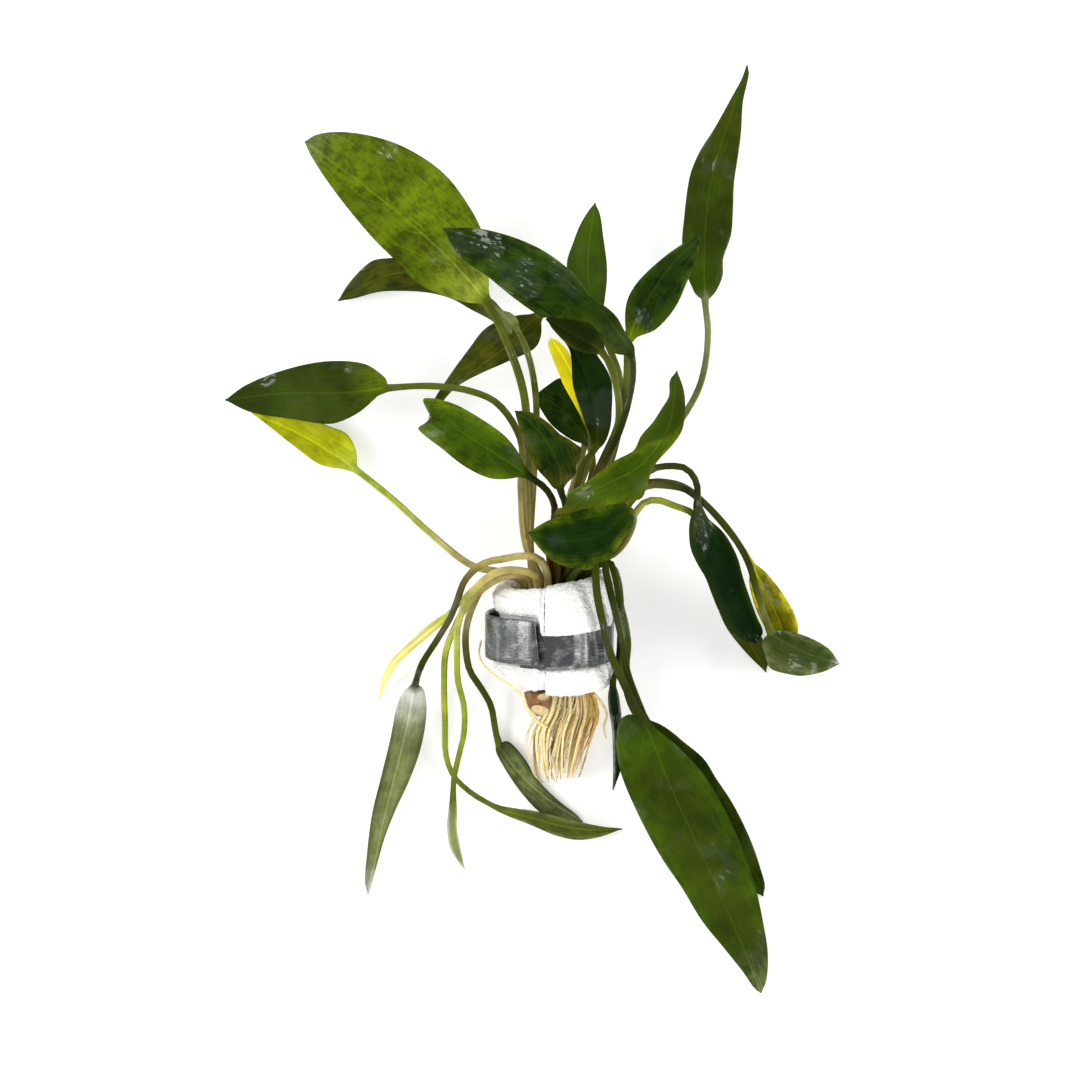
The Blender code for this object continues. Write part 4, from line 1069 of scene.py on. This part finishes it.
# The root clump's outer form. Each ring is a picture point, its height, half width and half depth.
ROOT_CLUMP = [((571, 672), 13.2, 4.0, 4.0), ((575, 696), 11.5, 4.6, 4.0), ((570, 712), 9.2, 7.0, 4.0),
              ((562, 732), 7.6, 7.6, 4.0), ((556, 756), 5.4, 6.4, 3.2), ((557, 775), 3.4, 5.0, 2.0),
              ((558, 783), 2.2, 3.6, 1.2)]
STRAY_ROOTS = {
    "root_stray_left": [(548, 727, 9.5), (538, 722, 15), (526, 706, 24), (522, 695, 28.5), (511, 686, 27.6),
                        (497, 677, 25.5), (485, 667, 23.2), (479, 654, 17.5), (481, 641, 11.5)],
    "root_stray_right": [(594, 694, 12.5), (602, 703, 10), (607, 715, 7.5), (604, 727, 5), (606, 738, 2.2)],
}


class CRYPTO_OT_roots(bpy.types.Operator):
    """Make the clump of roots below the foam, one tube for each root"""
    bl_idname = "crypto.roots"
    bl_label = "Root clump"

    def execute(self, context):
        colours, sizes = context.scene.crypto_wrap_colours, context.scene.crypto_sizes
        draw = random.Random(11)
        shape = bmesh.new()
        tint_layer = shape.verts.layers.float_color.new("Tint")
        for index in range(sizes.root_count):
            thick = index < sizes.root_count * 0.38
            turn, away = draw.uniform(0, 2 * math.pi), math.sqrt(draw.uniform(0, 1))
            across, deep = away * math.cos(turn), away * math.sin(turn)
            drift = draw.uniform(-0.5, 0.5), draw.uniform(-0.6, 0.6)
            points = []
            last = len(ROOT_CLUMP) - 1
            for ring, (pixel, height, half_width, half_depth) in enumerate(ROOT_CLUMP):
                if ring in (1, 4) and thick:
                    continue
                share = ring / last
                wave = (0.12 if thick else 0.5) * share * noise.noise(Vector((share * 4, index * 3.7, 1.0)))
                points.append(to_frame(*pixel, height) + Vector((
                    half_width * (across + (drift[0] + wave) * share) * 0.95, 0,
                    half_depth * (deep + drift[1] * share) * 0.9)))
            reach = draw.uniform(0.72, 1.0) if thick else draw.uniform(0.45, 0.98)
            line = spline(points, 8)
            shares = [step / 26 * reach for step in range(27)]
            line = spread(line, shares)
            size = sizes.root_radius / MM * (draw.uniform(1.0, 1.9) if thick else draw.uniform(0.4, 0.85))
            for step, point in enumerate(line):
                point.z = max(point.z, size + 0.25)
                line[step] = point
            radii = [size * (1 - 0.6 * (step / 26) ** 2) for step in range(27)]
            # Each root is cream to gold at random. Roots lower in the clump are painted darker gold and brown, as
            # painted shade under the others, and roots further right are more golden.
            gold = draw.uniform(0, 1)
            shade = mix(colours.root, colours.root_gold, smooth_step(gold - 0.5 * deep + 0.4 * across, 0.0, 0.8))
            shade = mix(shade, colours.root_brown_and_shade, smooth_step(gold - 0.8 * deep, 0.6, 1.1) * 0.9)

            def paint(vert, row, column, shade=shade):
                fade = smooth_step(row, 12, 27) * 0.3
                vert[tint_layer] = (*mix(shade, colours.root, fade), 1)

            tube(shape, line, radii, 7 if thick else 5, paint)
        bmesh.ops.recalc_face_normals(shape, faces=shape.faces)
        # Living root skin: smooth, damp and slightly glassy.
        new_piece("root_strands", shape, painted_skin("Damp root skin", 0.4, 0.4, 1500.0, 0.0001), "root_clump")
        return {"FINISHED"}


class CRYPTO_OT_strays(bpy.types.Operator):
    """Make the two roots that stray from the clump"""
    bl_idname = "crypto.strays"
    bl_label = "Stray roots"

    def execute(self, context):
        colours = context.scene.crypto_wrap_colours
        material = painted_skin("Thin root skin", 0.4, 0.4, 1500.0, 0.0001)
        for name, route in STRAY_ROOTS.items():
            shape = bmesh.new()
            tint_layer = shape.verts.layers.float_color.new("Tint")
            line = spline([to_frame(*point) for point in route], 10)

            def paint(vert, row, column):
                vert[tint_layer] = (*mix(colours.root, colours.root_gold, 0.15), 1)

            tube(shape, line, [0.45 - 0.2 * step / len(line) for step in range(len(line))], 8, paint)
            bmesh.ops.recalc_face_normals(shape, faces=shape.faces)
            new_piece(name + "_strand", shape, material, name)
        return {"FINISHED"}


class CRYPTO_OT_stage(bpy.types.Operator):
    """Make the table, the soft light and the camera above the bunch"""
    bl_idname = "crypto.stage"
    bl_label = "Stage"

    def execute(self, context):
        scene = context.scene
        # A sheet of white acrylic, faintly lit from below, so that it stays white in the soft shadows.
        material, tree, shader = new_material("White acrylic table")
        shader.inputs["Base Color"].default_value = (*scene.crypto_wrap_colours.table, 1)
        shader.inputs["Emission Color"].default_value = (1, 1, 1, 1)
        shader.inputs["Emission Strength"].default_value = 0.3
        shader.inputs["Roughness"].default_value = 0.6
        shape = bmesh.new()
        bmesh.ops.create_grid(shape, x_segments=1, y_segments=1, size=2000)
        table = new_piece("table", shape, material)
        world = bpy.data.worlds.new("Studio")
        world.use_nodes = True
        background = world.node_tree.nodes["Background"]
        background.inputs["Color"].default_value = (1, 1, 1, 1)
        background.inputs["Strength"].default_value = 0.62
        scene.world = world
        lights = {"left_softbox": ((-900, 120, 640), (760, 240), 6.5),
                  "right_softbox": ((900, 60, 520), (700, 300), 5.0),
                  "near_softbox": ((60, -950, 520), (800, 400), 4.0), "far_softbox": ((0, 950, 620), (800, 400), 3.0)}
        for name, (place, (wide, high), power) in lights.items():
            light = bpy.data.lights.new(name, "AREA")
            light.shape, light.energy, light.size, light.size_y = "RECTANGLE", power, wide * MM, high * MM
            lamp = bpy.data.objects.new(name, light)
            lamp.location = Vector(place) * MM
            lamp.rotation_euler = (-lamp.location).to_track_quat("-Z", "Y").to_euler()
            scene.collection.objects.link(lamp)
        lens = bpy.data.cameras.new("camera")
        lens.sensor_width = 36.0
        lens.lens = 36.0 * EYE_HEIGHT_MM / (2 * PICTURE_CENTRE[0] / PIXELS_PER_MM)
        lens.clip_start, lens.clip_end = 0.01, 20.0
        camera = bpy.data.objects.new("camera", lens)
        camera.location = Vector((-BUNCH_CENTRE_MM[0], -BUNCH_CENTRE_MM[1], EYE_HEIGHT_MM)) * MM
        scene.collection.objects.link(camera)
        scene.camera = camera
        scene.view_settings.view_transform = "Standard"
        return {"FINISHED"}


class CRYPTO_PT_panel(bpy.types.Panel):
    bl_label = "Cryptocoryne"
    bl_idname = "CRYPTO_PT_panel"
    bl_space_type = "VIEW_3D"
    bl_region_type = "UI"
    bl_category = "Cryptocoryne"

    def draw(self, context):
        for operator in OPERATORS:
            self.layout.operator(operator.bl_idname)


OPERATORS = (CRYPTO_OT_stage, CRYPTO_OT_leaves, CRYPTO_OT_foam, CRYPTO_OT_strip, CRYPTO_OT_rhizomes,
             CRYPTO_OT_roots, CRYPTO_OT_strays)
GROUPS = {"crypto_leaf_colours": LeafColours, "crypto_wrap_colours": WrapColours, "crypto_sizes": BunchSizes}


def register():
    for group in GROUPS.values():
        bpy.utils.register_class(group)
    for operator in OPERATORS:
        bpy.utils.register_class(operator)
    bpy.utils.register_class(CRYPTO_PT_panel)
    for name, group in GROUPS.items():
        setattr(bpy.types.Scene, name, PointerProperty(type=group))


def unregister():
    for name in GROUPS:
        delattr(bpy.types.Scene, name)
    bpy.utils.unregister_class(CRYPTO_PT_panel)
    for operator in reversed(OPERATORS):
        bpy.utils.unregister_class(operator)
    for group in reversed(list(GROUPS.values())):
        bpy.utils.unregister_class(group)


def main():
    register()
    for operator in OPERATORS:
        family, name = operator.bl_idname.split(".")
        getattr(getattr(bpy.ops, family), name)()


if __name__ == "__main__":
    main()
